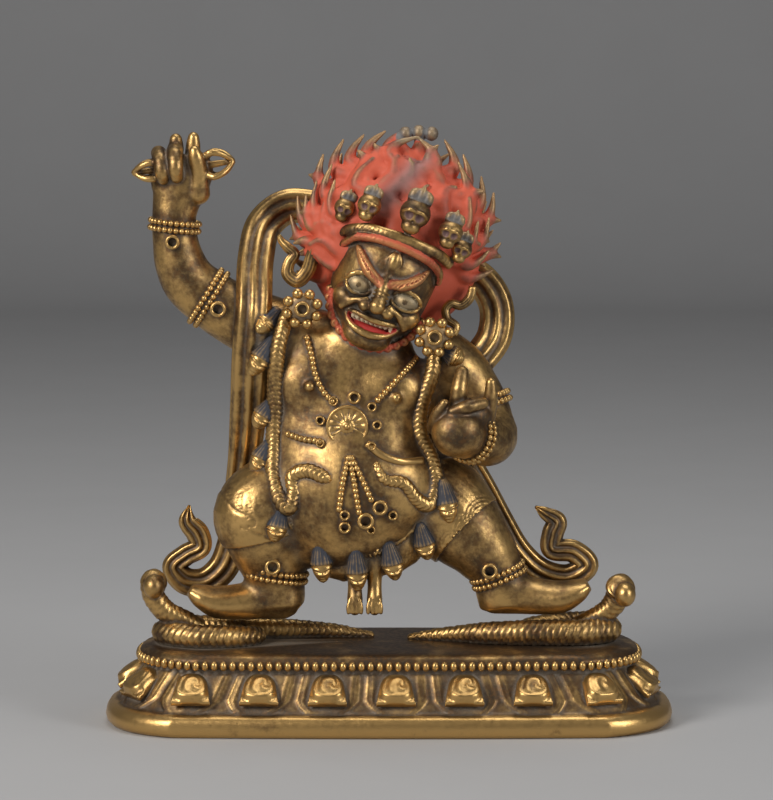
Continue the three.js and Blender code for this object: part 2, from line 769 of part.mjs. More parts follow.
// Rosettes, necklace, girdle, armlets and anklets.
function jewellery() {
  const rosettes = [
    [-23.1, -11, 113.3],
    [12.1, -11.4, 105.5],
  ].map(([x, y, z]) => {
    const flower = [
      [x, y + 3, z, 3.6],
      [x, y - 1, z, 5.4],
      [x, y - 2.4, z, 4],
    ];
    return [
      strand(flower, 2, 12, { depthAxis: UPWARD, fold: 0.78 }),
      bead([x, y - 2.2, z], 2.2),
    ];
  });
  const along = (spots, size, steps) => {
    return strand(spots.map(([x, z]) => [...onTrunk(x, z), size]), steps, 4);
  };
  const cords = [
    along([[-22, 105], [-19.6, 96], [-14, 86]], 1.2, 3),
    along([[6, 99], [1, 93], [-6, 86]], 1.2, 3),
    along([[-30, 79.8], [-23, 78.6], [-14, 78.4]], 1.2, 2),
    along([[-6, 77], [2, 73], [10, 72]], 1.2, 2),
    strand([[...onTrunk(-10.2, 76), 1.4, 1.6], [...onTrunk(-9, 59), 5, 1.6]], 2, 6, { fold: 0.5 }),
  ];
  const [x, y, z] = onTrunk(-11, 81.7);
  const medallion = [
    solid(new THREE.CylinderGeometry(5.6, 5.8, 3.4, 10).translate(x, y - 0.4, z)),
    bead([x, y - 2.2, z], 2),
    bead(onTrunk(-16, 88), 2),
    bead(onTrunk(-4.2, 86.8), 2),
  ];
  const pendants = [[-12.6, 57], [-7.2, 56.6], [-2.9, 61]];
  return [
    rosettes,
    cords,
    medallion,
    pendants.map(([across, up]) => setting(onTrunk(across, up), [0, -1, 0], 2)),
    bracelet([-57.5, -2, 135], [0, 0, 1], 5.9),
    bracelet([-48.6, 0, 115], [-0.85, 0, 0.53], 7.8),
    bracelet([24.8, 0, 86.2], [0.35, -0.1, -1], 7.8),
    bracelet([22.4, -12.6, 78.6], [-0.6, -0.75, 0.3], 6.4, 0.8),
    bracelet([-30.8, -4, 39.6], [-0.16, 0, -1], 7.7),
    bracelet([29.6, -3.5, 39.8], [0.4, 0, -1], 7),
    setting([-57.8, -8.2, 131.6], [0, -1, 0], 1.9),
    setting([-45.6, -8.2, 113.4], [0, -1, 0], 1.9),
    setting([-31, -12.4, 43.4], [0, -1, 0], 2),
    setting([27, -11.6, 42.4], [0, -1, 0], 2),
  ];
}

// Ribbons that curl out from behind each ear.
function earRibbons() {
  const right = [
    [-16.4, -6, 133, 1.7, 1.8],
    [-21, -4, 126.7, 1.8, 1.8],
    [-22.4, -2.6, 121, 1.9, 1.6],
    [-25.8, -1.6, 118.4, 1.9, 1.4],
    [-28.2, -1, 121.4, 1.8, 1.4],
    [-25.6, -1, 125.4, 1.7, 1.4],
    [-27.6, -0.6, 129, 1.4, 1.2],
    [-29.2, 0, 131.6, 0.5, 0.5],
  ];
  const left = [
    [21, -2, 118, 1.6, 1.4],
    [19, -3, 113.6, 1.6, 1.4],
    [15.4, -3.6, 112, 1.5, 1.3],
    [17.6, -4, 108.6, 1.4, 1.3],
    [16.6, -5, 104.6, 0.9, 0.9],
  ];
  return [strand(right, 9, 4), strand(left, 5, 4)];
}

function figure() {
  const parts = [
    trunk(),
    legs(),
    tigerSkin(),
    arms(),
    rightHand(),
    thunderbolt(),
    leftHand(),
    setHead([face(), diadem()]),
    hair(),
    garland(),
    scarf(),
    jewellery(),
    earRibbons(),
  ];
  return filled(union(parts).simplify(SMOOTHING).intersect(roomAbove(RIGHT_SOLE, LEFT_SOLE)));
}

function plinth() {
  return filled(union([plinthBody(), petalPads(), tramplingSerpents()]).simplify(SMOOTHING));
}

function mesh(name, shape, finish) {
  const { vertProperties, triVerts } = shape.getMesh();
  const geometry = new THREE.BufferGeometry();
  geometry.setAttribute("position", new THREE.BufferAttribute(vertProperties, 3));
  geometry.setIndex(new THREE.BufferAttribute(triVerts, 1));
  const faceted = geometry.toNonIndexed();
  faceted.computeVertexNormals();
  const made = new THREE.Mesh(faceted, new THREE.MeshStandardMaterial(finish));
  made.name = name;
  return made;
}

const statuette = new THREE.Group();
statuette.add(mesh("lotus_base", plinth(), WORN_BRONZE));
statuette.add(mesh("figure", figure(), GILT_BRONZE));

export default statuette;
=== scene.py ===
import math

import bpy
import numpy as np
import openvdb as vdb
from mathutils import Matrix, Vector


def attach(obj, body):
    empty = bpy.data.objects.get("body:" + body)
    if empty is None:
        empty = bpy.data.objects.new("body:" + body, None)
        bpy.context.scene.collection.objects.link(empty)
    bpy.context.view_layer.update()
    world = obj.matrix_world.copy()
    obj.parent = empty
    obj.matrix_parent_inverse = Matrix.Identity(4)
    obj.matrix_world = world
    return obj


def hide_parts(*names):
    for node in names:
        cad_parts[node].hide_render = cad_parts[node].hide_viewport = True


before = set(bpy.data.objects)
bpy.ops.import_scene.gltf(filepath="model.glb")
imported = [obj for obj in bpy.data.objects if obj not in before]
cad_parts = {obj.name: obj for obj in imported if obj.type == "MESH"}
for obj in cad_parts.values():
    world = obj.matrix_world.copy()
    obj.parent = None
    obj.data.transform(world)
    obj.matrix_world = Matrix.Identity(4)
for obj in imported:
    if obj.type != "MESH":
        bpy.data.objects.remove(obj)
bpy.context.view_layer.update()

# A gilt bronze wrathful deity striding over two serpents on a lotus plinth.
# Sizes are millimetres in the object's own frame, +Z up and the front facing -Y.
# A mesh is scaled to metres when it is made.
MM = 0.001
FRONT_TO_BACK = (0.0, 1.0, 0.0)
UPWARD = (0.0, 0.0, 1.0)

# Plinth, as in the solid it replaces.
FOOT_HALF_WIDTH = 77
FOOT_HALF_DEPTH = 30
STRAIGHT_SHARE = 0.64
PETALS = 19
PETAL_START = 1.9
PETAL_PITCH = 18.4
COLUMNS_PER_PETAL = 36

# Figure.
RIGHT_SOLE = 27.8
LEFT_SOLE = 29.2
HEAD_CENTRE = np.array([-1.8, -4.0, 118.0])
HEAD_LEAN = math.radians(20.5)
HAIR_CENTRE = (1.6, 130.0)
HAIR_REACH = (29.5, 31.0)
NAPE_REACH = 19

# Pigments, as linear colours with their cover as the fourth number. The near black serves for painted pupils and as
# painted shade inside empty gem cups.
RED = (0.60, 0.105, 0.050, 1.0)
LIP_RED = (0.42, 0.030, 0.022, 1.0)
CREAM = (0.56, 0.47, 0.30, 1.0)
HAIR_BLACK = (0.035, 0.038, 0.050, 1.0)
PUPIL_BLACK_AND_CUP_SHADE = (0.012, 0.010, 0.009, 1.0)
PLUM = (0.16, 0.085, 0.085, 1.0)
SLATE = (0.16, 0.155, 0.15, 1.0)
BARE = (0.0, 0.0, 0.0, 0.0)

random = np.random.default_rng(7)


# Curves and swept shapes. A shape is its points, its quads and its triangles.

def unit(vectors):
    return vectors / np.maximum(np.linalg.norm(vectors, axis=-1, keepdims=True), 1e-9)


def curve(points, shares, tension=None):
    """A Catmull-Rom curve through the points: centripetal, or uniform with a tension."""
    points = np.asarray(points, float)
    last = len(points) - 1
    place = np.clip(np.asarray(shares, float) * last, 0, last)
    index = np.minimum(place.astype(int), last - 1)
    w = (place - index)[:, None]
    padded = np.vstack([2 * points[0] - points[1], points, 2 * points[-1] - points[-2]])
    a, b, c, d = (padded[index + k] for k in range(4))
    if tension is None:
        before, here, after = (
            np.maximum(np.linalg.norm(q - p, axis=1, keepdims=True) ** 0.5, 1e-3)
            for p, q in ((a, b), (b, c), (c, d))
        )
        start = ((b - a) / before - (c - a) / (before + here) + (c - b) / here) * here
        end = ((c - b) / here - (d - b) / (here + after) + (d - c) / after) * here
    else:
        start, end = tension * (c - a), tension * (d - b)
    return b + start * w + (3 * (c - b) - 2 * start - end) * w**2 + (2 * (b - c) + start + end) * w**3


def ring_quads(rows, columns):
    """Quads of a tube whose rows are rings of points."""
    row, column = np.meshgrid(np.arange(rows - 1), np.arange(columns), indexing="ij")
    here, beside = row * columns + column, row * columns + (column + 1) % columns
    return np.stack([here, beside, beside + columns, here + columns], -1).reshape(-1, 4)


def outward(points, quads, triangles):
    """The shape with its faces turned to face out."""
    split = np.vstack([quads[:, [0, 1, 2]], quads[:, [0, 2, 3]], triangles])
    a, b, c = (points[split[:, k]] for k in range(3))
    if np.einsum("ij,ij->", a - points.mean(0), np.cross(b, c)) < 0:
        return points, quads[:, ::-1], triangles[:, ::-1]
    return points, quads, triangles


def capped(rings):
    """Rings of points, as an array of rows, columns and coordinates, closed at both ends."""
    rows, columns = rings.shape[:2]
    points = np.vstack([rings.reshape(-1, 3), rings[0].mean(0), rings[-1].mean(0)])
    column = np.arange(columns)
    beside = (column + 1) % columns
    first, last = rows * columns, rows * columns + 1
    top = (rows - 1) * columns
    triangles = np.vstack([
        np.stack([beside, column, np.full(columns, first)], -1),
        np.stack([top + column, top + beside, np.full(columns, last)], -1),
    ])
    return outward(points, ring_quads(rows, columns), triangles)


def with_depth(stations):
    return np.array([s if len(s) == 5 else (*s, s[3]) for s in stations], float)


def sweep(stations, steps, sides, depth_axis=FRONT_TO_BACK, relief=None, ends=(0.0, 0.0)):
    """A limb, ribbon or cord through stations [x, y, z, half width, half depth].

    relief(angle, length, share) pushes the skin out; ends are the lengths rounded off.
    """
    stations = with_depth(stations)
    shares = np.linspace(0, 1, steps + 1)
    centre = curve(stations[:, :3], shares)
    size = np.maximum(curve(stations[:, 3:], shares, tension=0.3), 0.05)
    length = np.concatenate([[0], np.cumsum(np.linalg.norm(np.diff(centre, axis=0), axis=1))])
    for reach, gone in ((ends[0], length), (ends[1], length[-1] - length)):
        if reach:
            closing = np.clip(gone / reach, 0, 1)
            size = size * np.maximum(np.sqrt(1 - (1 - closing) ** 2), 0.03)[:, None]
    tangent = unit(np.gradient(centre, axis=0))
    across = unit(np.cross(tangent, depth_axis))
    through = np.cross(across, tangent)
    angle = np.arange(sides) / sides * 2 * np.pi
    x, z = np.sin(angle)[None, :, None], np.cos(angle)[None, :, None]
    wide, deep = size[:, 0, None, None], size[:, 1, None, None]
    rings = centre[:, None] + across[:, None] * x * wide + through[:, None] * z * deep
    if relief:
        out = unit(across[:, None] * x * deep + through[:, None] * z * wide)
        rings = rings + out * relief(angle[None], length[:, None], shares[:, None])[..., None]
    return capped(rings)


def turned(direction):
    """A matrix whose columns are two crossways axes and the direction."""
    axis = unit(np.asarray(direction, float))
    side = unit(np.cross(UPWARD if abs(axis[2]) < 0.9 else FRONT_TO_BACK, axis))
    return np.stack([side, np.cross(axis, side), axis], -1)


def lathe(profile, sides, centre, direction):
    """A turned form: a profile of [radius, height] round an axis."""
    angle = np.arange(sides) / sides * 2 * np.pi
    profile = np.asarray(profile, float)
    radius, height = profile[:, :1], profile[:, 1:]
    spread = np.ones_like(angle)[None]
    local = np.stack([radius * np.cos(angle), radius * np.sin(angle), height * spread], -1)
    return capped(local @ turned(direction).T + np.asarray(centre, float))


def balls(centres, radii, columns=8, rows=6, axes=None):
    """Many ellipsoids at once. axes, where given, are each one's own three columns."""
    centres = np.atleast_2d(np.asarray(centres, float))
    radii = np.broadcast_to(np.asarray(radii, float).reshape(-1, 1) if np.ndim(radii) == 1
                            and len(radii) == len(centres) != 3 else radii, centres.shape)
    rise = np.linspace(0, np.pi, rows + 1)[1:-1]
    turn = np.arange(columns) / columns * 2 * np.pi
    ring = np.stack([
        np.sin(rise)[:, None] * np.cos(turn),
        np.sin(rise)[:, None] * np.sin(turn),
        np.cos(rise)[:, None] * np.ones_like(turn),
    ], -1)
    sphere, quads, triangles = capped(ring)
    sphere[-2:] = [[0, 0, 1], [0, 0, -1]]
    local = sphere[None] * radii[:, None]
    if axes is not None:
        local = np.einsum("nij,nvj->nvi", np.broadcast_to(axes, (len(centres), 3, 3)), local)
    points = (local + centres[:, None]).reshape(-1, 3)
    shift = (np.arange(len(centres)) * len(sphere))[:, None, None]
    return points, (quads[None] + shift).reshape(-1, 4), (triangles[None] + shift).reshape(-1, 3)


def evenly(points, pitch):
    """Points at an even pitch along the smooth curve through the given ones."""
    fine = curve(points, np.linspace(0, 1, 40 * len(points)))
    length = np.concatenate([[0], np.cumsum(np.linalg.norm(np.diff(fine, axis=0), axis=1))])
    marks = np.linspace(0, length[-1], max(int(round(length[-1] / pitch)), 1) + 1)
    return np.stack([np.interp(marks, length, fine[:, k]) for k in range(fine.shape[1])], -1)


def joined(shapes):
    """Several shapes as one list of points, quads and triangles."""
    shift, parts = 0, []
    for points, quads, triangles in shapes:
        parts.append((points, quads + shift, triangles + shift))
        shift += len(points)
    return tuple(np.vstack([part[k] for part in parts]) for k in range(3))


class Clay:
    """A block of modelling clay: a grid of distances to its surface."""

    def __init__(self, low, high, voxel, reach=3.0):
        self.voxel = voxel
        self.reach = reach
        self.start = np.floor(np.array(low) / voxel).astype(int)
        shape = np.ceil(np.array(high) / voxel).astype(int) - self.start + 1
        self.field = np.full(shape, reach, np.float32)
        self.grid_scale = vdb.createLinearTransform(voxelSize=voxel)

    def window(self, low, high):
        """The part of the grid between two corners, and its coordinates."""
        first = np.floor(np.array(low) / self.voxel).astype(int) - self.start
        last = np.ceil(np.array(high) / self.voxel).astype(int) - self.start + 1
        first = np.clip(first, 0, self.field.shape)
        last = np.clip(last, first, self.field.shape)
        axes = [(np.arange(a, b) + c) * self.voxel for a, b, c in zip(first, last, self.start)]
        cells = tuple(slice(a, b) for a, b in zip(first, last))
        return cells, np.meshgrid(*axes, indexing="ij", sparse=True)

    def merge(self, cells, distance, soft, cut):
        """Adds a form to the clay, or cuts it away, softening the join."""
        old = -self.field[cells] if cut else self.field[cells]
        made = np.minimum(old, distance)
        if soft:
            made = made - np.maximum(soft - np.abs(old - distance), 0) ** 2 / (4 * soft)
        self.field[cells] = np.clip(-made if cut else made, -self.reach, self.reach)

    def ball(self, centre, radii, soft=0.6, cut=False, axes=None):
        radii = np.broadcast_to(radii, 3).astype(float)
        margin = radii.max() + self.reach
        cells, grid = self.window(np.array(centre) - margin, np.array(centre) + margin)
        place = [axis - c for axis, c in zip(grid, centre)]
        if axes is not None:
            place = [sum(axes[j, k] * place[j] for j in range(3)) for k in range(3)]
        near = np.sqrt(sum((p / r) ** 2 for p, r in zip(place, radii)))
        steep = np.sqrt(sum((p / r**2) ** 2 for p, r in zip(place, radii)))
        self.merge(cells, near * (near - 1) / np.maximum(steep, 1e-6), soft, cut)

    def trail(self, stations, soft=0.4, cut=False, detail=3):
        """A tapering bead of clay along stations [x, y, z, radius]."""
        stations = np.asarray(stations, float)
        spine = curve(stations, np.linspace(0, 1, detail * (len(stations) - 1) + 1))
        margin = spine[:, 3:].max() + soft + 2 * self.voxel
        cells, grid = self.window(spine[:, :3].min(0) - margin, spine[:, :3].max(0) + margin)
        distance = np.full([s.stop - s.start for s in cells], np.inf, np.float32)
        for a, b in zip(spine, spine[1:]):
            step = b - a
            place = [axis - c for axis, c in zip(grid, a)]
            square = max(float(step[:3] @ step[:3]), 1e-9)
            share = np.clip(sum(p * s for p, s in zip(place, step)) / square, 0, 1)
            away = np.sqrt(sum((p - share * s) ** 2 for p, s in zip(place, step)))
            distance = np.minimum(distance, away - (a[3] + share * step[3]))
        self.merge(cells, distance, soft, cut)

    def shell(self, shape, soft=0.6, cut=False):
        """A closed mesh."""
        points, quads, triangles = shape
        level = vdb.FloatGrid.createLevelSetFromPolygons(
            points.astype(np.float32),
            triangles=triangles.astype(np.uint32),
            quads=quads.astype(np.uint32),
            transform=self.grid_scale,
            halfWidth=self.reach / self.voxel,
        )
        margin = self.reach
        cells, grid = self.window(points.min(0) - margin, points.max(0) + margin)
        block = np.zeros([s.stop - s.start for s in cells], np.float32)
        level.copyToArray(block, ijk=tuple(int(s.start + c) for s, c in zip(cells, self.start)))
        self.merge(cells, block, soft, cut)

    def front(self, x, z, lift=0.0):
        """The point on the clay's front surface at x and z, lifted off it."""
        i = int(round(x / self.voxel)) - self.start[0]
        k = int(round(z / self.voxel)) - self.start[2]
        column = self.field[i - 1 : i + 2, :, k - 1 : k + 2].mean((0, 2))
        if column.min() > 0:
            return np.array([x, 99.0, z])
        inside = max(int(np.argmax(column < 0)), 1)
        above, below = column[inside - 1], column[inside]
        place = inside - 1 + above / (above - below)
        return np.array([x, (place + self.start[1]) * self.voxel - lift, z])

    def surface(self, smoothing=1, adaptivity=0.0):
        grid = vdb.FloatGrid(self.reach)
        grid.copyFromArray(self.field, ijk=tuple(int(c) for c in self.start), tolerance=0)
        grid.transform = self.grid_scale
        points, triangles, quads = grid.convertToPolygons(isovalue=0, adaptivity=adaptivity)
        shape = outward(points.astype(float), quads.astype(int), triangles.astype(int))
        return smoothed(shape, smoothing)


def edges_of(quads, triangles):
    pairs = [quads[:, [k, (k + 1) % 4]] for k in range(4)]
    pairs += [triangles[:, [k, (k + 1) % 3]] for k in range(3)]
    return np.vstack(pairs)


def smoothed(shape, turns):
    """The shape with its points drawn towards their neighbours' middle."""
    points, quads, triangles = shape
    edges = edges_of(quads, triangles)
    count = np.maximum(np.bincount(edges[:, 0], minlength=len(points)), 1)[:, None]
    for _ in range(turns):
        total = np.stack([
            np.bincount(edges[:, 0], weights=points[edges[:, 1], k], minlength=len(points))
            for k in range(3)
        ], -1)
        points = 0.5 * points + 0.5 * total / count
    return points, quads, triangles


# Pieces: shapes gathered under one name, with a pigment or, in empty gem cups, a painted shade, and a gilding for each
# point.

class Piece:
    made = []

    def __init__(self, name, node, gilding=0.5, tint=None):
        self.name = name
        self.node = node
        self.gilding = gilding
        self.tint = tint
        self.shapes = []
        self.pigment_and_cup_shade_layers = []
        self.gildings = []
        Piece.made.append(self)

    def add(self, shape, pigment_and_cup_shade=BARE, gilding=None):
        count = len(shape[0])
        self.shapes.append(shape)
        self.pigment_and_cup_shade_layers.append(np.broadcast_to(np.asarray(pigment_and_cup_shade, float), (count, 4)))
        bias = self.gilding if gilding is None else gilding
        self.gildings.append(np.broadcast_to(np.asarray(bias, float), count))

    def close(self):
        self.shape = joined(self.shapes)
        self.pigment_and_cup_shade = np.vstack(self.pigment_and_cup_shade_layers)
        self.bias = np.concatenate(self.gildings)

    def weather(self, room):
        """Measures the hollows, and lets the piece's own tint answer to them."""
        self.hollows = [room.hollow(self.shape[0], radius) for radius in (0.6, 3.0)]
        if self.tint:
            self.tint(self, *self.hollows)


def mesh_object(piece):
    points, quads, triangles = piece.shape
    mesh = bpy.data.meshes.new(piece.name)
    mesh.vertices.add(len(points))
    mesh.vertices.foreach_set("co", (points * MM).astype(np.float32).ravel())
    corners = np.concatenate([quads.ravel(), triangles.ravel()]).astype(np.int32)
    starts = np.concatenate([
        np.arange(len(quads)) * 4,
        len(quads) * 4 + np.arange(len(triangles)) * 3,
    ]).astype(np.int32)
    mesh.loops.add(len(corners))
    mesh.loops.foreach_set("vertex_index", corners)
    mesh.polygons.add(len(starts))
    mesh.polygons.foreach_set("loop_start", starts)
    mesh.polygons.foreach_set("use_smooth", np.ones(len(starts), bool))
    mesh.update(calc_edges=True)
    # A layer of cold pigment, which also carries the painted shade inside empty gem cups.
    pigment_and_cup_shade = mesh.color_attributes.new("pigment_and_cup_shade", "FLOAT_COLOR", "POINT")
    pigment_and_cup_shade.data.foreach_set("color", piece.pigment_and_cup_shade.astype(np.float32).ravel())
    wear = mesh.color_attributes.new("wear", "FLOAT_COLOR", "POINT")
    channels = np.stack([piece.bias, *piece.hollows, np.ones(len(points))], -1)
    wear.data.foreach_set("color", channels.astype(np.float32).ravel())
    made = bpy.data.objects.new(piece.name, mesh)
    bpy.context.scene.collection.objects.link(made)
    return made


def bead_row(points, pitch, radius, **options):
    return balls(evenly(points, pitch), radius, **options)


def bead_ring(centre, axis, radius, count, bead, squash=1.0):
    """Beads in a ring round a limb."""
    side, other, _ = turned(axis).T
    angle = np.arange(count)[:, None] / count * 2 * np.pi
    spots = np.asarray(centre) + radius * (np.cos(angle) * side + np.sin(angle) * other * squash)
    return balls(spots, bead)


def socket(centre, direction, radius):
    """An empty gem setting: a collar round an open cup. The cup's points come last; the inside of the cup is painted
    near black as painted shade.
    """
    profile = [(0.02, -1.2), (1.0, -1.2), (1.12, 0.1), (1.08, 0.5), (0.9, 0.66), (0.72, 0.6),
               (0.62, 0.3), (0.6, -0.5), (0.02, -0.6)]
    shape = lathe(np.array(profile) * radius, 20, centre, direction)
    pigment_and_cup_shade = np.zeros((len(shape[0]), 4))
    # The cup's inner wall and floor are painted near black: painted shade in the empty cup.
    pigment_and_cup_shade[6 * 20 :] = PUPIL_BLACK_AND_CUP_SHADE
    pigment_and_cup_shade[-2] = BARE
    return shape, pigment_and_cup_shade


# The body: trunk, arms, legs and feet.

TRUNK = [
    (-6.5, -2, 45, 14, 9),
    (-8, -3, 51, 20, 13.5),
    (-9.2, -3.5, 58, 23, 15.5),
    (-9.6, -3.5, 66, 23.6, 15.8),
    (-9.8, -2.5, 76, 23.2, 14),
    (-9.8, -1.5, 86, 23.2, 12.8),
    (-9.4, -0.5, 94, 23.4, 11.5),
    (-8.5, 0, 101, 21, 10),
    (-6.5, 0, 107, 13, 8),
]
RIGHT_LEG = [
    (-15, 1, 62, 12, 10.5),
    (-27, -3, 61.5, 12, 11),
    (-35.2, -6, 57, 11.4, 10.5),
    (-34, -6, 50.5, 10.2, 9.4),
    (-31.6, -4.5, 44, 9.2, 8),
    (-30.4, -3.5, 37.5, 7.7, 6.8),
    (-30, -3.5, 32, 7, 6.4),
]
LEFT_LEG = [
    (7, 1, 63, 12.8, 10.5),
    (14, -1, 58.3, 13, 11.3),
    (20.8, -3, 52, 11.2, 10.5),
    (26.4, -3.4, 45.5, 8.8, 8.6),
    (30, -3.5, 39.5, 6.9, 6.8),
    (31.2, -3.5, 32, 6.5, 6.2),
]
RIGHT_ARM = [
    (-20, 1, 101, 10, 9.5),
    (-31, 0.5, 105.5, 9.6, 9),
    (-42.5, 0, 110.9, 8.3, 8.3),
    (-49, 0, 115.3, 7.8, 7.8),
    (-53.8, -0.6, 119.6, 7.4, 7.4),
    (-56.3, -1.2, 125, 6.8, 6.8),
    (-57.4, -1.8, 131, 6.1, 6),
    (-57.6, -2.2, 137, 5.9, 5.2),
    (-57, -2.4, 141, 6.4, 4.9),
]
LEFT_ARM = [
    (11, 1, 99, 9.6, 9),
    (18, 1.5, 95, 8.6, 8.4),
    (22.6, 1, 89.5, 7.7, 7.8),
    (25.6, -0.5, 83.6, 7.4, 7.3),
    (27, -3, 78, 7.2, 7.2),
]
LEFT_FOREARM = [
    (27.6, -1, 77.6, 7.4, 7.2),
    (26.2, -6.5, 77.2, 7.4, 7.2),
    (23.4, -11.5, 78, 6.4, 6.4),
    (20, -15.5, 79.8, 6.2, 6.4),
]


def foot(toward, sole):
    middle = toward * 30.5
    stations = [
        (-6, -3.2, 4, 2.8, 3.2),
        (-3.6, -3.4, 4.8, 4.9, 5.4),
        (2, -3.6, 5.8, 5.8, 6),
        (9, -4.2, 5, 5, 6.4),
        (16, -4.8, 5, 4.4, 6.8),
        (20.5, -5, 6.8, 3.2, 6.4),
        (23.4, -5, 8.6, 1.7, 5),
    ]
    return [(middle + toward * x, y, sole + z, a, b) for x, y, z, a, b in stations]


def body_clay():
    clay = Clay((-66, -22, 27), (56, 15, 143), 0.7, reach=4)
    clay.shell(sweep(TRUNK, 40, 40), 0)
    clay.ball((-9.6, -7.5, 64.5), (20.5, 12, 14.5), 4)
    clay.ball((-21, -8, 93), (9, 4.6, 7.5), 3)
    clay.ball((1, -8.5, 90.6), (8.6, 4.6, 7.5), 3)
    clay.ball((-7, -3, 103), (12, 8, 8), 4)
    for limb, soft in ((RIGHT_LEG, 3), (LEFT_LEG, 3), (RIGHT_ARM, 3), (LEFT_ARM, 3)):
        clay.shell(sweep(limb, 30, 32), soft)
    clay.shell(sweep(LEFT_FOREARM, 16, 32, depth_axis=UPWARD), 2)
    for toward, sole in ((-1, RIGHT_SOLE), (1, LEFT_SOLE)):
        clay.shell(sweep(foot(toward, sole), 24, 28), 2)
        cells, grid = clay.window(((-60, -20, 20), (0, -20, 20))[toward > 0],
                                  ((0, 14, 42), (60, 14, 42))[toward > 0])
        clay.merge(cells, (grid[2] - sole) + 0 * grid[0] + 0 * grid[1], 0.8, True)
    return clay


def build_body():
    clay = body_clay()
    for x, z in ((-21.2, 92.4), (2, 89.4)):
        clay.ball(clay.front(x, z, 0.2), 1.5, 0.3)
    body = Piece("body", "figure", gilding=0.5)
    body.add(clay.surface(2))
    return clay


# The tiger skin over the thighs and hips.

BELLY_EDGE = [(-27.2, 58.6), (-22.3, 56.4), (-16.8, 53.7), (-10.3, 51.7), (-3.7, 51.7), (2.8, 54.2), (7.2, 57.5)]
RIGHT_HEM = [(-46.5, 64.6), (-43, 61), (-40.4, 59.1), (-37.6, 58), (-35.6, 56.8), (-36, 55.2), (-37.7, 55.2)]
RIGHT_FOLD = [(-39.5, 54.9), (-32.7, 52.3), (-27.2, 50)]
LEFT_HEM = [(30.5, 57.2), (28.4, 58), (26.3, 58.2), (24.1, 55.3), (20.3, 51.4), (13.8, 46.4)]


def scored(clay, path, radius, lift=0.0, pitch=0.5, cut=True):
    """A line cut into the clay's front, or laid on it, along a path of x and z."""
    spots = [clay.front(x, z, lift) for x, z in evenly(path, pitch)]
    clay.trail([(*spot, radius) for spot in spots], 0.1, cut=cut, detail=1)


def tufts(clay, path, lean, length, pitch):
    """Short strokes of fur hanging from a path."""
    for x, z in evenly(path, pitch):
        scored(clay, [(x, z), (x + lean * length * 0.5, z - length * 0.55), (x + lean * length, z - length)],
               0.34, lift=0.16, pitch=0.6, cut=False)


def hatched_flames(clay):
    """Nested arcs of fur along the hem of the left thigh."""
    for x, z, out in ((25.0, 57.4, 5), (21.4, 53.4, 5), (17.2, 49.8, 4)):
        for ring in range(1, out + 1):
            radius = 0.95 * ring
            angles = np.radians(np.linspace(60, 200, 7))
            scored(clay, [(x + radius * math.cos(a), z + radius * math.sin(a)) for a in angles], 0.24)


def build_skin():
    clay = Clay((-49, -22, 28), (33, 15, 72), 0.36, reach=2.6)
    grown = [
        [(x, y, z, a + 0.8, b + 0.8) for x, y, z, a, b in limb[:count]]
        for limb, count in ((RIGHT_LEG, 4), (LEFT_LEG, 3))
    ]
    apron = [
        (-7, -3, 58, 21.5, 13.5),
        (-6.5, -4.5, 51, 19.5, 11.5),
        (-5.5, -6, 46, 16, 8.5),
        (-5, -7, 42.5, 13, 5.5),
        (-4.6, -7.5, 40, 8, 3.4),
    ]
    for stations in grown:
        clay.shell(sweep(stations, 24, 32), 0.5)
    clay.shell(sweep(apron, 20, 40), 2)
    for x in (-9.2, -3.9):
        clay.trail([(x, -10, 45, 2.4), (x, -11, 38, 1.9), (x, -12, 33.6, 2.1), (x, -12.4, 31.9, 1.5)], 0.8)
        for toe in range(4):
            across = x + (toe - 1.5) * 1.15
            clay.trail([(x + (toe - 1.5) * 0.8, -13.4, 35.4, 0.35), (across, -13.8, 33, 0.62),
                        (across, -13.8, 31.4, 0.55)], 0.12)
    scored(clay, RIGHT_HEM, 0.32)
    scored(clay, RIGHT_FOLD, 0.3)
    scored(clay, LEFT_HEM, 0.36)
    scored(clay, [(16.5, 65), (20.3, 61.6), (23.6, 59.6)], 0.25)
    hatched_flames(clay)
    for column, (x, top, count) in enumerate(((-42.6, 64.8, 4), (-40, 63.8, 6), (-37.2, 62.6, 7), (-34.4, 61.6, 6))):
        for row in range(count):
            z = top - row * 0.85
            scored(clay, [(x - 0.8, z - 0.15), (x + 0.7, z + 0.25)], 0.2)
    for (x, z), lean in ((spot, 0.5 if spot[0] < -3 else -0.45) for spot in evenly(BELLY_EDGE, 1.25)):
        tufts(clay, [(x, z - 2.2), (x, z - 2.2)], lean, 2.6, 5)
    for x, top, bottom in ((-15.5, 47, 43), (-13, 46, 41.6), (-5.6, 46, 41), (-1.6, 46, 41.4), (4.6, 47.6, 43.4),
                           (7, 48.6, 44.4), (-22.4, 51, 47.4), (-24.6, 52.4, 49)):
        for step in range(3):
            scored(clay, [(x + step * 0.9, top), (x + step * 0.9 - 0.3, (top + bottom) / 2),
                          (x + step * 0.9 + 0.1, bottom)], 0.2)
    scored(clay, BELLY_EDGE, 0.75, lift=0.1, cut=False)
    scored(clay, [(x, z - 1.5) for x, z in BELLY_EDGE], 0.6, lift=0.0, cut=False)
    skin = Piece("tiger_skin", "figure", gilding=0.62)
    skin.add(clay.surface(1))
    return clay


# Head and diadem, worked upright round the head's own middle and then leaned.

def set_head(points):
    u, w, v = points.T
    return np.stack([
        HEAD_CENTRE[0] + u * math.cos(HEAD_LEAN) + v * math.sin(HEAD_LEAN),
        HEAD_CENTRE[1] + w,
        HEAD_CENTRE[2] - u * math.sin(HEAD_LEAN) + v * math.cos(HEAD_LEAN),
    ], -1)


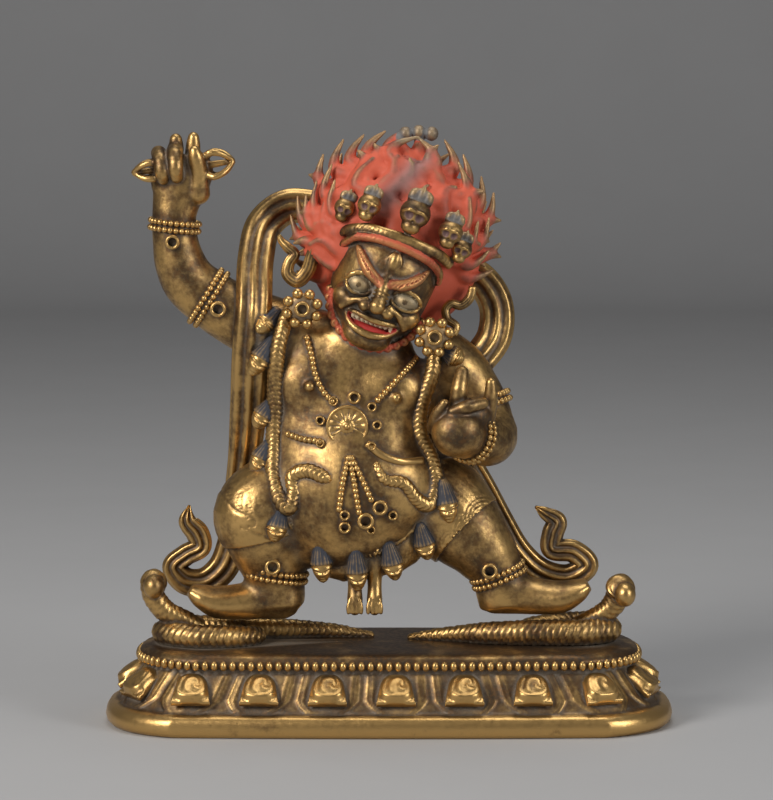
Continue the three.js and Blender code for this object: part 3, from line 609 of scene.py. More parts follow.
SKULL = [
    (0, -4.4, -16.4, 3, 3),
    (-0.2, -2.4, -13.4, 8.6, 7.6),
    (-0.4, -1, -7, 12.2, 10.8),
    (-0.6, 0, 0, 13.4, 12),
    (-0.4, 0, 7, 13.6, 12.2),
    (0, 0, 13, 11.4, 9.8),
    (0, 0, 17, 3.4, 3),
]
EYES = [(-6.4, -0.2, 3.3, 2.9), (6.8, -0.4, 3.7, 2.6)]
CROWN_SKULLS = [
    (-17, -5, 16.6, 3.1),
    (-11.2, -9, 19.8, 3.5),
    (0.9, -11.2, 22, 4.5),
    (11.5, -9, 20.6, 3.6),
    (16, -5, 17.2, 3.1),
]


def face(clay):
    clay.shell(sweep(SKULL, 30, 44), 0)
    clay.ball((0.2, -8, -13), (6.6, 4.4, 3.6), 2.5)
    for side in (-1, 1):
        clay.ball((side * 8.2, -8.2, -4.6), (4, 3.6, 3.2), 1.6)
        clay.trail([
            (side * 3.4, -13, -3.2, 0.9),
            (side * 6.4, -12, -4.6, 1.0),
            (side * 8.8, -10, -7.4, 0.9),
        ], 1.0)
    for x, z, wide, high in EYES:
        clay.ball((x, -12, z), (wide + 0.8, 2.4, high + 0.4), 1.2, cut=True)
        clay.ball((x, -9.6, z), (wide, 2.9, high), 0.15)
        lids = []
        for angle in np.linspace(0, np.pi, 7):
            across, up = math.cos(angle) * (wide + 0.35), math.sin(angle) * (high + 0.1)
            depth = -9.9 - 2.1 * math.sin(angle) ** 0.5
            lids.append((x + across, depth, z, up))
        clay.trail([(x0, y0, z0 + up, 0.62) for x0, y0, z0, up in lids], 0.25)
        clay.trail([(x0, y0, z0 - up * 0.9, 0.45) for x0, y0, z0, up in lids], 0.25)
    clay.ball((0.2, -11.2, 8.2), (1.7, 1.6, 3.0), 0.2)
    for side in (-1, 1):
        clay.trail([
            (0.2, -11.2, 11.8, 0.4),
            (0.2 + side * 1.9, -11.6, 8.4, 0.5),
            (0.2, -12, 4.6, 0.4),
        ], 0.25)
    for side, line in ((-1, [(-1.9, 2.2), (-5, 3.8), (-7.9, 6.3), (-10.2, 8.8)]),
                       (1, [(1.9, 2.7), (5, 3.7), (7.9, 6.1), (9.6, 8.9)])):
        depths = (-13.0, -12.6, -11.2, -9.0)
        clay.trail([(u, w, v, r) for (u, v), w, r in zip(line, depths, (1.2, 1.5, 1.3, 0.6))], 0.6)
        path = curve([(u, w, v) for (u, v), w in zip(line, depths)], np.linspace(0.05, 0.95, 9))
        for u, w, v in path:
            clay.trail([(u - side * 0.7, w - 1.1, v - 0.9, 0.22), (u + side * 0.7, w - 1.3, v + 1.2, 0.3)],
                       0.1, cut=True)
    clay.trail([(-0.1, -11.8, 3.4, 1.3), (-0.2, -13.2, 1.2, 1.6), (0, -13.2, -1.4, 1.5), (0, -14, -4, 2.2)], 1.0)
    for lift in range(3):
        v = 0.2 - lift * 1.05
        clay.trail([(-2.1, -13, v - 0.5, 0.3), (0, -14.7, v + 0.2, 0.42), (2.1, -13, v - 0.5, 0.3)], 0.2)
    for side in (-1, 1):
        clay.ball((side * 3.1, -13, -5), (1.9, 1.9, 1.6), 0.7)
        clay.ball((side * 1.9, -14.6, -6.3), (0.8, 1.2, 0.7), 0.2, cut=True)
    mouth(clay)


def mouth(clay):
    middle = [(-6.6, -9.8, -8.6), (-3.2, -12.2, -9.6), (0.4, -13, -10.1), (4, -12.2, -9.7), (7.4, -9.8, -8.2)]
    clay.trail([(*spot, r) for spot, r in zip(middle, (0.7, 1.7, 1.9, 1.6, 0.6))], 0.3, cut=True)
    clay.ball((0.6, -9.8, -10.6), (5.6, 2.4, 1.3), 0.3)
    for step in np.linspace(-1, 1, 9):
        u, w = 0.2 + 5.2 * step, -10.2 - 1.9 * math.cos(step * 1.2)
        clay.ball((u, w, -8.7 + 0.1 * abs(step)), (0.62, 0.7, 0.75), 0.1)
    upper = [(-7.6, -9.4, -7.9), (-3.8, -12.4, -7.5), (0.3, -13.2, -7.9), (4.2, -12.4, -7.7), (8.2, -9.4, -7.5)]
    lower = [(-7.6, -9.4, -7.9), (-4.9, -11.6, -10.9), (0.6, -12.8, -12), (5, -11.6, -10.8), (8.2, -9.4, -7.5)]
    for line, radii in ((upper, (0.5, 0.8, 0.85, 0.8, 0.5)), (lower, (0.5, 0.85, 1.0, 0.85, 0.5))):
        clay.trail([(*spot, r) for spot, r in zip(line, radii)], 0.35)


def beard(clay):
    for index in range(17):
        angle = math.radians(-84 + 10.5 * index)
        u, w = 13.0 * math.sin(angle), -1.5 - 5 * math.cos(angle)
        v = -3.6 - 12.3 * math.cos(angle)
        clay.ball((u, w - 0.3, v), 1.3, 0.3)
        clay.ball((u, w - 1.6, v + 0.1), 0.5, 0.15, cut=True)


def crown(clay):
    band = [(-17, -1.5, 9.4), (-13, -7.5, 12.6), (-9.4, -9.6, 14.2), (-4.5, -11.4, 14.8),
            (0.6, -11.8, 15.1), (5.9, -11.2, 14.7), (10.8, -8.8, 14.2), (14.7, -4, 12.4)]
    clay.shell(sweep([(*spot, 1.0, 1.5) for spot in band], 40, 16, depth_axis=UPWARD), 0.15)
    for place in curve(band, np.linspace(0.03, 0.97, 26)):
        clay.trail([(place[0] - 0.3, place[1] - 1.1, place[2] - 1.2, 0.17),
                    (place[0] + 0.5, place[1] - 1.1, place[2] + 1.1, 0.17)], 0.05, cut=True)
    hairline = [(-14.5, -3.5, 6.8), (-11.6, -8.6, 11), (-6.5, -11, 12.6), (-0.5, -12, 12.9),
                (5.4, -11.2, 12.4), (9.9, -9, 11.3), (12.6, -5.6, 9.4), (13.2, -3, 6.9)]
    clay.trail([(*spot, 1.15) for spot in hairline], 0.15)
    for place in curve(hairline, np.linspace(0.02, 0.98, 34)):
        clay.trail([(place[0] - 0.2, place[1] - 1.2, place[2] - 1.0, 0.14),
                    (place[0] + 0.3, place[1] - 1.2, place[2] + 1.0, 0.14)], 0.05, cut=True)
    for u, w, v, size in CROWN_SKULLS:
        clay.ball((u, w, v + 0.1 * size), (0.92 * size, 0.86 * size, 0.86 * size), 0.2)
        clay.ball((u, w - 0.12 * size, v - 0.72 * size), (0.58 * size, 0.6 * size, 0.46 * size), 0.4)
        for side in (-1, 1):
            clay.ball((u + side * 0.36 * size, w - 0.86 * size, v - 0.1 * size), 0.28 * size, 0.15, cut=True)
            clay.trail([(u, w - 0.86 * size, v + 0.22 * size, 0.08 * size),
                        (u + side * 0.4 * size, w - 0.84 * size, v + 0.26 * size, 0.12 * size),
                        (u + side * 0.76 * size, w - 0.5 * size, v + 0.02 * size, 0.08 * size)], 0.2)
        clay.ball((u, w - 0.8 * size, v - 0.4 * size), (0.09 * size, 0.2 * size, 0.13 * size), 0.1, cut=True)
        clay.trail([(u - 0.36 * size, w - 0.62 * size, v - 0.84 * size, 0.05 * size),
                    (u, w - 0.78 * size, v - 0.86 * size, 0.06 * size),
                    (u + 0.36 * size, w - 0.62 * size, v - 0.84 * size, 0.05 * size)], 0.05, cut=True)
        for turn in (-0.5, 0, 0.5):
            top = v + (1.75 - 0.5 * abs(turn)) * size
            clay.trail([(u + turn * size * 0.7, w + 0.3 * size, v + 0.7 * size, 0.36 * size),
                        (u + turn * size * 0.9, w + 0.2 * size, v + 1.2 * size, 0.3 * size),
                        (u + turn * size * 0.4, w + 0.2 * size, top, 0.1 * size)], 0.2)


def paint_head(points):
    """Red brows, hair band, lips and beard, cream eyes and teeth, dusky sockets."""
    u, w, v = points.T
    colour = np.zeros((len(points), 4))
    for x, z, wide, high in EYES:
        ball = ((u - x) / (wide + 0.1)) ** 2 + ((v - z) / (high - 0.1)) ** 2 < 0.8
        front = w < -9
        colour[ball & front] = (*CREAM[:3], 0.45)
        pupil = np.hypot(u - x + 0.2, v - z + 0.2) < 0.75
        colour[pupil & front] = (*PUPIL_BLACK_AND_CUP_SHADE[:3], 0.8)
    inside = (np.abs(u - 0.3) < 7) & (v < -8) & (v > -11.8 + 0.05 * u**2) & (w > -12.6) & (w < -7)
    colour[inside] = LIP_RED
    teeth = (np.abs(u - 0.2) < 5.8) & (v < -8.1) & (v > -9.5) & (w < -9.6) & (w > -12.9)
    colour[teeth] = CREAM
    low = 12.4 + 0.02 * v
    ring = np.hypot(u / 13.0, (v + 3.6) / 12.3)
    beard_zone = (ring > 0.93) & (v < -4.5) & (w > -9.5)
    colour[beard_zone] = (*RED[:3], 0.85)
    band = np.interp(u, (-14.5, -11.6, -6.5, -0.5, 5.4, 9.9, 12.6, 13.2),
                     (6.8, 11, 12.6, 12.9, 12.4, 11.3, 9.4, 6.9))
    colour[(np.abs(v - band) < 1.25) & (w < -2.5) & (np.abs(u) < 14.5)] = (*RED[:3], 0.9)
    for line in ([(-1.9, 2.2), (-5, 3.8), (-7.9, 6.3), (-10.2, 8.8)],
                 [(1.9, 2.7), (5, 3.7), (7.9, 6.1), (9.6, 8.9)]):
        path = curve(line, np.linspace(0, 1, 20))
        gap = np.min([np.hypot(u - a, v - b) for a, b in path], axis=0)
        colour[(gap < 1.5) & (w < -9.6)] = (*RED[:3], 0.5)
    for x, y, z, size in CROWN_SKULLS:
        for side in (-1, 1):
            near = np.sqrt((u - x - side * 0.36 * size) ** 2 + (w - y + 0.8 * size) ** 2
                           + (v - z + 0.1 * size) ** 2)
            colour[near < 0.32 * size] = (*PLUM[:3], 0.8)
        finial = (np.abs(u - x) < 0.8 * size) & (v > z + 0.85 * size) & (np.abs(w - y) < size)
        colour[finial] = (*SLATE[:3], 0.75)
    return colour


def build_head():
    clay = Clay((-21, -18, -19), (21, 5, 32), 0.28, reach=2)
    face(clay)
    beard(clay)
    crown(clay)
    points, quads, triangles = clay.surface(1)
    head = Piece("head_and_diadem", "figure", gilding=0.35)
    colour = paint_head(points)
    head.add((set_head(points), quads, triangles), pigment_and_cup_shade=colour)


# Flaming hair: a flattened mass with tiers of curling locks.

def hair_spot(angle, reach):
    height = HAIR_REACH[1] if math.cos(angle) > 0 else NAPE_REACH
    return (HAIR_CENTRE[0] + HAIR_REACH[0] * reach * math.sin(angle),
            HAIR_CENTRE[1] + height * reach * math.cos(angle))


def lock(clay, angle, start, end, depths, width, sway, hook):
    """A flame of hair: it sways on its way out, swells in the middle and hooks over at the tip."""
    stations = []
    for share in np.linspace(0, 1, 8):
        bend = sway * math.sin(share * 2 * math.pi) + hook * share**4
        reach = start + (end - start) * share
        x, z = hair_spot(angle + bend / max(reach, 0.25), reach)
        depth = depths[0] + (depths[1] - depths[0]) * share**1.3
        swell = (0.72 + 0.4 * math.sin(share * 2.6)) * (1 - share**2.4)
        stations.append((x, depth, z, width * swell + 0.4))
    clay.trail(stations, 0.7, detail=3)


def upward(angle):
    """Which way a tip hooks so that it rises."""
    return -math.copysign(1, angle) if abs(angle) > 0.12 else 1


def tint_hair(piece, fine, broad):
    """Orange red in the hollows, worn to purplish brown on the ridges, with a dusty streak."""
    points = piece.shape[0]
    ridge = np.clip((0.47 - fine) / 0.12, 0, 1)[:, None]
    piece.pigment_and_cup_shade = piece.pigment_and_cup_shade * (1 - ridge) + np.array((*PLUM[:3], 0.85)) * ridge
    streak = near_line(points, [(-2, 141), (4, 147), (9, 153)], 3.2)[:, None] * (points[:, 1:2] < -2)
    piece.pigment_and_cup_shade = piece.pigment_and_cup_shade * (1 - 0.7 * streak) + np.array(SLATE) * 0.7 * streak
    crest = ((points[:, 2] > 157.2) & (np.abs(points[:, 0] - 8) < 6))[:, None]
    piece.pigment_and_cup_shade = np.where(crest, SLATE, piece.pigment_and_cup_shade)


def near_line(points, line, width):
    """1 on a line of x and z, falling to 0 a few widths off it."""
    spots = evenly(line, 1.0)
    gap = np.min([np.hypot(points[:, 0] - x, points[:, 2] - z) for x, z in spots], axis=0)
    return np.exp(-((gap / width) ** 2))


def build_hair():
    clay = Clay((-31, -14, 100), (34, 15.5, 163), 0.45, reach=2.8)
    x, z = HAIR_CENTRE
    clay.ball((x, 3, z - 1), (23.5, 5.5, 24.5), 0)
    clay.ball((x, 3, z), (19, 9, 20), 3)
    clay.ball((x, 4, z - 8), (17, 10, 14), 3)
    for index in range(21):
        angle = math.radians(-124 + 248 * index / 20 + random.uniform(-2, 2))
        lock(clay, angle, 0.42, 1.0 + random.uniform(-0.04, 0.0), (-1.5, 2.4), 2.5,
             0.1 * random.choice([-1, 1]), 0.15 * upward(angle))
    tiers = ((19, 0.9, -4.5, 2.3), (16, 0.74, -7.5, 2.1), (12, 0.56, -9.2, 1.9))
    for tier, (count, end, depth, width) in enumerate(tiers):
        for index in range(count):
            shift = 0.5 * ((tier + 1) % 2)
            angle = math.radians(-118 + 236 * (index + shift) / count + random.uniform(-3, 3))
            lock(clay, angle, end - 0.5, end + random.uniform(-0.05, 0.04), (depth - 0.5, depth + 2.4), width,
                 0.12 * random.choice([-1, 1]), 0.17 * upward(angle))
    for count, end, depth in ((20, 0.9, 8.5), (15, 0.66, 11.0), (9, 0.4, 12.2)):
        for index in range(count):
            angle = math.radians(-156 + 312 * index / (count - 1) + random.uniform(-3, 3))
            lock(clay, angle, 0.1, end, (depth + 0.6, depth - 2.6), 2.2, 0.1 * random.choice([-1, 1]),
                 0.1 * upward(angle))
    for across in (-3.6, 0, 3.4):
        clay.ball((x + 6.4 + across, 2, 159.4 - 0.12 * abs(across)), (1.9, 2.2, 2.0), 0.3)
    hair = Piece("flaming_hair", "figure", gilding=0.2, tint=tint_hair)
    hair.add(clay.surface(1), pigment_and_cup_shade=RED)


# Scarf, ribbons, garland and jewellery.

def pleats(count, height):
    def relief(angle, length, share):
        return height * np.cos(count * np.pi * np.sin(angle)) * np.abs(np.cos(angle)) ** 0.5 + 0 * length
    return relief


SCARF_RIGHT = [
    (-18, 11, 138.4, 4.6, 1.8), (-27.6, 11, 138.8, 4.8, 1.9), (-33.6, 8, 134.4, 4.9, 1.9),
    (-35.8, 0, 126, 4.9, 1.9), (-36.2, -8, 113, 4.9, 1.9), (-37.2, -6.5, 100, 5, 1.9),
    (-38, -1, 84.8, 5, 1.9), (-39.6, 5, 69, 4.4, 1.9), (-41.6, 8.5, 55, 4.2, 1.9),
    (-43, 9, 46.3, 4.2, 1.9), (-45.8, 9, 39.6, 4.2, 1.8), (-50.6, 8.8, 36, 4, 1.8),
    (-55.8, 8.4, 36.4, 3.8, 1.8), (-58.9, 8, 40.4, 3.2, 1.7), (-55.6, 8, 43.6, 3, 1.6),
    (-51.6, 8, 46, 3, 1.6), (-52.4, 8, 49.6, 3.2, 1.6), (-55, 8, 53, 2.6, 1.4),
    (-54.6, 8, 57.4, 0.4, 0.5),
]
SCARF_LEFT = [
    (15, 11, 122, 4.2, 1.8), (23.6, 10, 120, 4.6, 1.9), (28.8, 8.6, 113, 4.7, 1.9),
    (28.6, 7, 104, 4.8, 1.9), (22.6, 3, 96, 4.6, 1.9),
]
SCARF_TAIL = [
    (22, 4, 70, 3, 1.8), (26, 5.6, 63, 3, 1.8), (31, 7.4, 53, 3.2, 1.8),
    (35.8, 8.4, 44.6, 3.4, 1.8), (42, 9, 38.8, 3.6, 1.8), (49.2, 8.8, 37.4, 3.6, 1.8),
    (54, 8.2, 40.8, 3.4, 1.7), (50.4, 8, 44.6, 3.2, 1.6), (44.6, 8, 45.4, 3, 1.6),
    (44.8, 8, 49.6, 3, 1.6), (45.8, 8, 52.8, 2.8, 1.5), (42.6, 8, 55.2, 1.8, 1.2),
    (39.9, 8, 57, 0.4, 0.5),
]


def build_scarf():
    scarf = Piece("scarf", "figure", gilding=0.45)
    for stations, steps in ((SCARF_RIGHT, 260), (SCARF_LEFT, 80), (SCARF_TAIL, 150)):
        scarf.add(sweep(stations, steps, 40, relief=pleats(3, 0.45), ends=(0, 2)))


def scales(pitch, height, lean=0.75):
    """Chevron rows of overlapping scales round a serpent."""
    def relief(angle, length, share):
        from_front = np.abs((angle + 2 * np.pi) % (2 * np.pi) - np.pi)
        row = length / pitch - lean * from_front
        step = row % 1
        cell = np.abs(np.sin(2.5 * angle + np.pi * 0.5 * (np.floor(row) % 2)))
        return height * ((1 - step) ** 0.7 * (0.65 + 0.35 * cell) - 0.5)
    return relief


def slimmer(stations, share):
    return [(*station[:3], *(share * size for size in station[3:])) for station in stations]


GARLAND_RIGHT = [
    (-24.8, -2, 114.5, 1.8), (-27.4, -9, 110.4, 2.2), (-29.9, -10.4, 101, 2.5),
    (-30.4, -8.4, 89, 2.7), (-30.8, -8.4, 77, 2.7), (-31, -11, 69.5, 2.7),
    (-29.4, -14.8, 62.6, 2.7), (-26.9, -16, 60.2, 2.6), (-25.4, -15.6, 64, 2.3),
    (-25.6, -15.4, 68.4, 2.3), (-22, -16.8, 70.2, 2.3), (-17.4, -18.6, 68.8, 2.2),
    (-15, -19.2, 67.6, 0.7),
]
GARLAND_LEFT = [
    (12.5, -7, 103, 2), (11.6, -8.8, 96, 2.4), (8.4, -9.6, 86, 2.5), (8.4, -10.2, 79, 2.5),
    (11, -9.6, 73, 2.5), (12.4, -10.2, 66, 2.5), (10.4, -13, 60.6, 2.4), (7.2, -15.2, 62.4, 2.2),
    (3.6, -17.2, 67, 2), (-1.4, -18.4, 68.2, 1.8), (-3.9, -17.8, 72.8, 1.1),
]
SEVERED_HEADS = [
    ((-29.5, -6, 112.5), (-35.3, -10.5, 106.6)),
    ((-30.4, -9, 105.4), (-37.2, -10.5, 95)),
    ((-31, -8, 88.3), (-36, -8.5, 80.6)),
    ((-31.4, -8.5, 77.6), (-36.6, -9.5, 68.4)),
    ((-28.8, -15, 59.8), (-30.8, -16.8, 51)),
    ((-18.7, -13.6, 51.4), (-17.6, -13.2, 39.4)),
    ((-9, -15, 49.4), (-8.3, -13.6, 37.2)),
    ((-0.4, -14.6, 51), (1.9, -13, 40)),
    ((8, -12.4, 55.6), (10.6, -10.6, 45.2)),
    ((14.2, -11.4, 67.2), (16.4, -13.2, 55.4)),
    ((14, -8.6, 101.6), (20, -10, 99)),
]


def build_garland():
    garland = Piece("serpent_garland", "figure", gilding=0.6)
    for stations, steps in ((GARLAND_RIGHT, 380), (GARLAND_LEFT, 300)):
        garland.add(sweep(slimmer(stations, 0.86), steps, 32, relief=scales(1.35, 0.42), ends=(1, 1)))


def severed_head(root, chin):
    """Striated hair drawn up to a knot, and a small face below it."""
    root, chin = np.array(root, float), np.array(chin, float)
    rows, columns = 60, 44
    share = np.linspace(0, 1, rows)[:, None]
    angle = np.arange(columns)[None] / columns * 2 * np.pi
    down = unit(chin - root)
    side = unit(np.cross(down, FRONT_TO_BACK))
    front = np.cross(side, down)
    front = front if front[1] < 0 else -front
    width = np.interp(share, (0, 0.08, 0.3, 0.53, 0.56, 0.58, 0.66, 0.78, 0.9, 0.97, 1),
                      (0.9, 1.5, 2.2, 2.95, 2.95, 2.65, 2.7, 2.35, 1.6, 0.9, 0.1))
    hair = share < 0.57
    facing = np.cos(angle)
    stripes = 0.14 * np.cos(angle * 17)
    face_x = np.sin(angle) * width
    level = share
    bumps = (
        0.6 * np.exp(-((face_x / (0.2 + 5 * (level - 0.68))) ** 2) - ((level - 0.8) / 0.055) ** 2)
        + 0.32 * np.exp(-((level - 0.715 + 0.035 * np.abs(face_x)) / 0.018) ** 2)
        - 0.34 * np.exp(-((level - 0.75 + 0.03 * np.abs(face_x)) / 0.014) ** 2) * (np.abs(face_x) > 0.35)
        + 0.25 * np.exp(-((np.abs(face_x) - 1.05) ** 2 / 0.2) - ((level - 0.782) / 0.016) ** 2)
        + 0.3 * np.exp(-((face_x / 0.8) ** 2) - ((level - 0.885) / 0.014) ** 2)
        - 0.4 * np.exp(-((face_x / 0.85) ** 2) - ((level - 0.91) / 0.012) ** 2)
    ) * (facing > 0.1)
    radius = np.where(hair, width + stripes, width + bumps)
    spots = root + (chin - root) * share[..., None]
    ring = spots + radius[..., None] * (np.sin(angle)[..., None] * side + 0.88 * facing[..., None] * front)
    shape = capped(ring)
    colour = np.zeros((rows, columns, 4))
    colour[:] = np.where((share < 0.57)[..., None], HAIR_BLACK, BARE)
    return shape, np.vstack([colour.reshape(-1, 4), HAIR_BLACK, BARE])


def build_severed_heads():
    heads = Piece("severed_heads", "figure", gilding=0.9)
    for root, chin in SEVERED_HEADS:
        shape, colour = severed_head(root, chin)
        heads.add(shape, pigment_and_cup_shade=colour)


def build_jewellery(body):
    jewels = Piece("jewellery", "figure", gilding=0.85)
    on = lambda x, z, lift=0.2: tuple(body.front(x, z, lift))
    for x, y, z in ((-23.1, -13.4, 113.2), (12.1, -13.4, 105.6)):
        jewels.add(lathe([(0.05, 3.5), (3.4, 3.2), (4.2, 0.8), (3.2, 0), (0.05, -0.2)], 24, (x, y, z), (0, 1, 0)))
        angles = np.arange(8) / 8 * 2 * np.pi + 0.3
        spots = np.stack([x + 4.2 * np.cos(angles), np.full(8, y + 0.4), z + 4.2 * np.sin(angles)], -1)
        jewels.add(balls(spots, 1.42, columns=14, rows=10))
        # The rosette's cup is painted shade at four fifths cover.
        shape, colour = socket((x, y - 0.6, z), (0, -1, 0), 1.9)
        jewels.add(shape, pigment_and_cup_shade=colour * (1, 1, 1, 0.8))
    strings = [
        [(-22, 105), (-20.6, 100), (-19.8, 96), (-17.5, 91), (-15.2, 88.6)],
        [(7.2, 99), (4, 96), (1, 93), (-3, 88.9)],
        [(-27, 79.4), (-23, 78.4), (-18.5, 78)],
        [(-10.9, 73.8), (-12.4, 67), (-13.3, 60.4)],
        [(-10.4, 73.8), (-9.2, 67), (-8, 59.6)],
        [(-9.9, 73.8), (-7.2, 68.4), (-4.8, 63.1)],
    ]
    for line in strings:
        jewels.add(bead_row([on(x, z, 0.5) for x, z in line], 1.45, 0.95))
    jewels.add(sweep([(*on(x, z, 0.1), 1.1, 0.7) for x, z in ((-6, 77.5), (-2, 74.5), (3, 72.6), (9, 72.4))], 30, 10))
    for x, z, size in ((-14.9, 88.6, 1.2), (-9.3, 89.6, 1.6), (-4.6, 87.1, 1.2), (-3.2, 82.3, 1.2),
                       (-4.6, 76.9, 1.1), (-18.4, 77.6, 1.1), (-18.4, 83.5, 1.2), (-11.8, 58.8, 1.3),
                       (-11.8, 55.4, 1.5), (-6.2, 57.2, 2.1), (-2.4, 60.8, 1.9), (1, 58.5, 1.2),
                       (-4.8, 54.6, 1.1)):
        # Each cup is painted shade at half cover.
        shape, colour = socket(on(x, z, 0.7), (0, -1, 0), size)
        jewels.add(shape, pigment_and_cup_shade=colour * (1, 1, 1, 0.5))
    medallion(jewels, on(-11.2, 82, 0.4))
    bands = [
        ((-57.5, -2.1, 134.6), (0.1, 0, 1), 6.5, 26, (6.5, 5.7)),
        ((-48.6, 0, 115), (-0.85, 0, 0.53), 8.1, 32, None),
        ((24.8, 0, 86.2), (0.35, -0.1, -1), 8.0, 32, None),
        ((22.0, -13, 79), (-0.6, -0.75, 0.3), 6.9, 28, None),
        ((-30.8, -4, 40.6), (-0.16, 0, -1), 8.4, 32, None),
        ((29.6, -3.5, 40), (0.4, 0, -1), 7.3, 28, None),
    ]
    for centre, axis, radius, count, _ in bands:
        step = unit(np.array(axis, float)) * 0.95
        for side in (-1, 1):
            jewels.add(bead_ring(np.array(centre) + side * step, axis, radius, count, 0.85))
    for centre, direction, size in (((-57.8, -8.4, 130.6), (0, -1, 0), 1.8), ((-45.7, -8.6, 112.7), (0, -1, 0), 2.0),
                                    ((-31.2, -12.6, 43.6), (0, -1, 0.1), 2.0), ((27, -11.8, 42.4), (0, -1, 0), 2.0)):
        # Each cup is painted shade at full cover.
        shape, colour = socket(centre, direction, size)
        jewels.add(shape, pigment_and_cup_shade=colour)


def medallion(jewels, centre):
    rows = [(0.05, 2.5), (5.2, 2.5), (5.7, 0.6), (5.6, -0.1), (5.2, -0.3), (4.9, 0), (4.7, 0.25), (3.5, 0.25),
            (2.2, 0.2), (1.8, -0.1), (1.5, -0.3), (1.0, -0.2), (0.8, -0.7), (0.4, -1.0), (0.05, -1.05)]
    points, quads, triangles = lathe(rows, 60, centre, (0, 1, 0))
    angle = np.arctan2(points[:, 2] - centre[2], points[:, 0] - centre[0])
    away = np.hypot(points[:, 2] - centre[2], points[:, 0] - centre[0])
    spoke = ((away > 2.0) & (away < 4.8) & (points[:, 1] < centre[1] + 1)) * np.cos(angle * 15)
    points[:, 1] -= 0.22 * spoke
    jewels.add((points, quads, triangles))


def build_ribbons():
    ribbons = Piece("ear_ribbons", "figure", gilding=0.4)
    right = [
        (-16.6, -5.5, 132.6, 1.3), (-19, -4.4, 130, 1.6), (-20.6, -3.6, 126.4, 1.8), (-21.8, -3, 122.6, 1.9),
        (-24.6, -2.4, 119.8, 1.9), (-27.2, -1.8, 121.6, 1.7), (-26.8, -1.6, 124.6, 1.5), (-25.4, -1.4, 126.8, 1.4),
        (-27.2, -1, 128.6, 1.3), (-28.9, -0.4, 130.4, 0.9), (-29.6, 0, 132, 0.4),
    ]
    left = [
        (22.6, -2, 118.4, 1.0), (21.6, -2.4, 115, 1.2), (19.2, -3, 113.2, 1.2), (16.6, -3.6, 113.7, 1.1),
        (15.2, -4, 112.1, 1.1), (15.7, -4.4, 109.6, 1.1), (18, -4.8, 107.7, 1.0), (17.4, -5.2, 105, 0.6),
    ]
    for stations, steps in ((right, 120), (left, 90)):
        wide = [(x, y, z, size, 1.2) for x, y, z, size in stations]
        ribbons.add(sweep(wide, steps, 24, relief=pleats(4, 0.26), ends=(0.5, 0.5)))


# Hands and the thunderbolt.

def build_right_hand():
    clay = Clay((-69.5, -14, 136), (-40, 6, 160.5), 0.38, reach=2.4)
    clay.shell(sweep(RIGHT_ARM[6:] + [
        (-56.4, -2.5, 143.5, 7.4, 4.8),
        (-55.6, -2.5, 149.5, 8.6, 4.8),
        (-55.6, -2.5, 153.6, 7.2, 4),
    ], 24, 28), 0)
    for stations in (
        [(-58, -2, 151, 2.2), (-57, -2.2, 155.6, 2.0), (-57, -2.4, 157.6, 1.7)],
        [(-52.6, -2, 151, 2.2), (-52.4, -2.2, 156.4, 1.9), (-52.3, -2.4, 158.2, 1.5)],
        [(-51, -4.4, 143.5, 3.2), (-50.6, -6, 149, 2.3), (-51.4, -7.2, 153, 2.1), (-51.8, -7.6, 154.8, 1.5)],
        [(-61.6, -3, 154, 2.1), (-61, -6.6, 152.6, 2.1), (-60.4, -8.2, 149.4, 2.0), (-60.2, -7.2, 147.4, 1.6)],
        [(-57.2, -3, 155, 2.2), (-57, -7.2, 153.6, 2.2), (-56.8, -8.8, 150.4, 2.1), (-56.6, -7.8, 148, 1.7)],
    ):
        clay.trail(stations, 0.5)
    for root, tip, swell in (((-60.5, -4.8, 149.8), (-68, -5.6, 149), 3.2), ((-50, -4, 150.6), (-41.8, -4.6, 152), 4.8)):
        root, tip = np.array(root), np.array(tip)
        side, other, axis = turned(tip - root).T
        length = np.linalg.norm(tip - root)
        for index in range(4):
            angle = (index + 0.5) * math.pi / 2
            out = (math.cos(angle) * side + math.sin(angle) * other) * swell
            clay.trail([
                (*(root + axis * length * along + out * reach), size)
                for along, reach, size in ((0, 0.3, 0.9), (0.35, 0.95, 0.95), (0.7, 0.75, 0.85), (1.0, 0.1, 0.7))
            ], 0.3)
        clay.trail([(*root, 1.2), (*tip, 0.7)], 0.3)
    hand = Piece("right_hand_and_thunderbolt", "figure", gilding=0.4)
    hand.add(clay.surface(1))


def build_left_hand():
    clay = Clay((8, -26, 71), (33, -8, 99), 0.38, reach=2.4)
    clay.shell(sweep(LEFT_FOREARM, 16, 32, depth_axis=UPWARD), 0)
    clay.ball((18.2, -18.6, 80.8), (7, 5.8, 6.9), 1.5)
    clay.ball((20.8, -16.4, 85.4), (6.4, 4, 4.4), 1.5)
    for stations in (
        [(18, -17, 86, 2.4), (18.6, -18, 92, 2.3), (19.4, -16.5, 96.5, 1.8)],
        [(26, -14.6, 84.5, 2.4), (27, -16, 90, 1.9), (27, -16.4, 93.8, 1.4)],
        [(24.8, -19.5, 88.6, 1.6), (21, -21.5, 88, 1.9), (16.8, -21, 86.6, 1.5)],
        [(12.4, -16.5, 82, 2.4), (13, -19.4, 86, 1.8), (14.6, -20.6, 88.8, 1.2)],
    ):
        clay.trail(stations, 0.5)
    hand = Piece("left_hand", "figure", gilding=0.3)
    hand.add(clay.surface(1))


# The plinth and the trampled serpents.

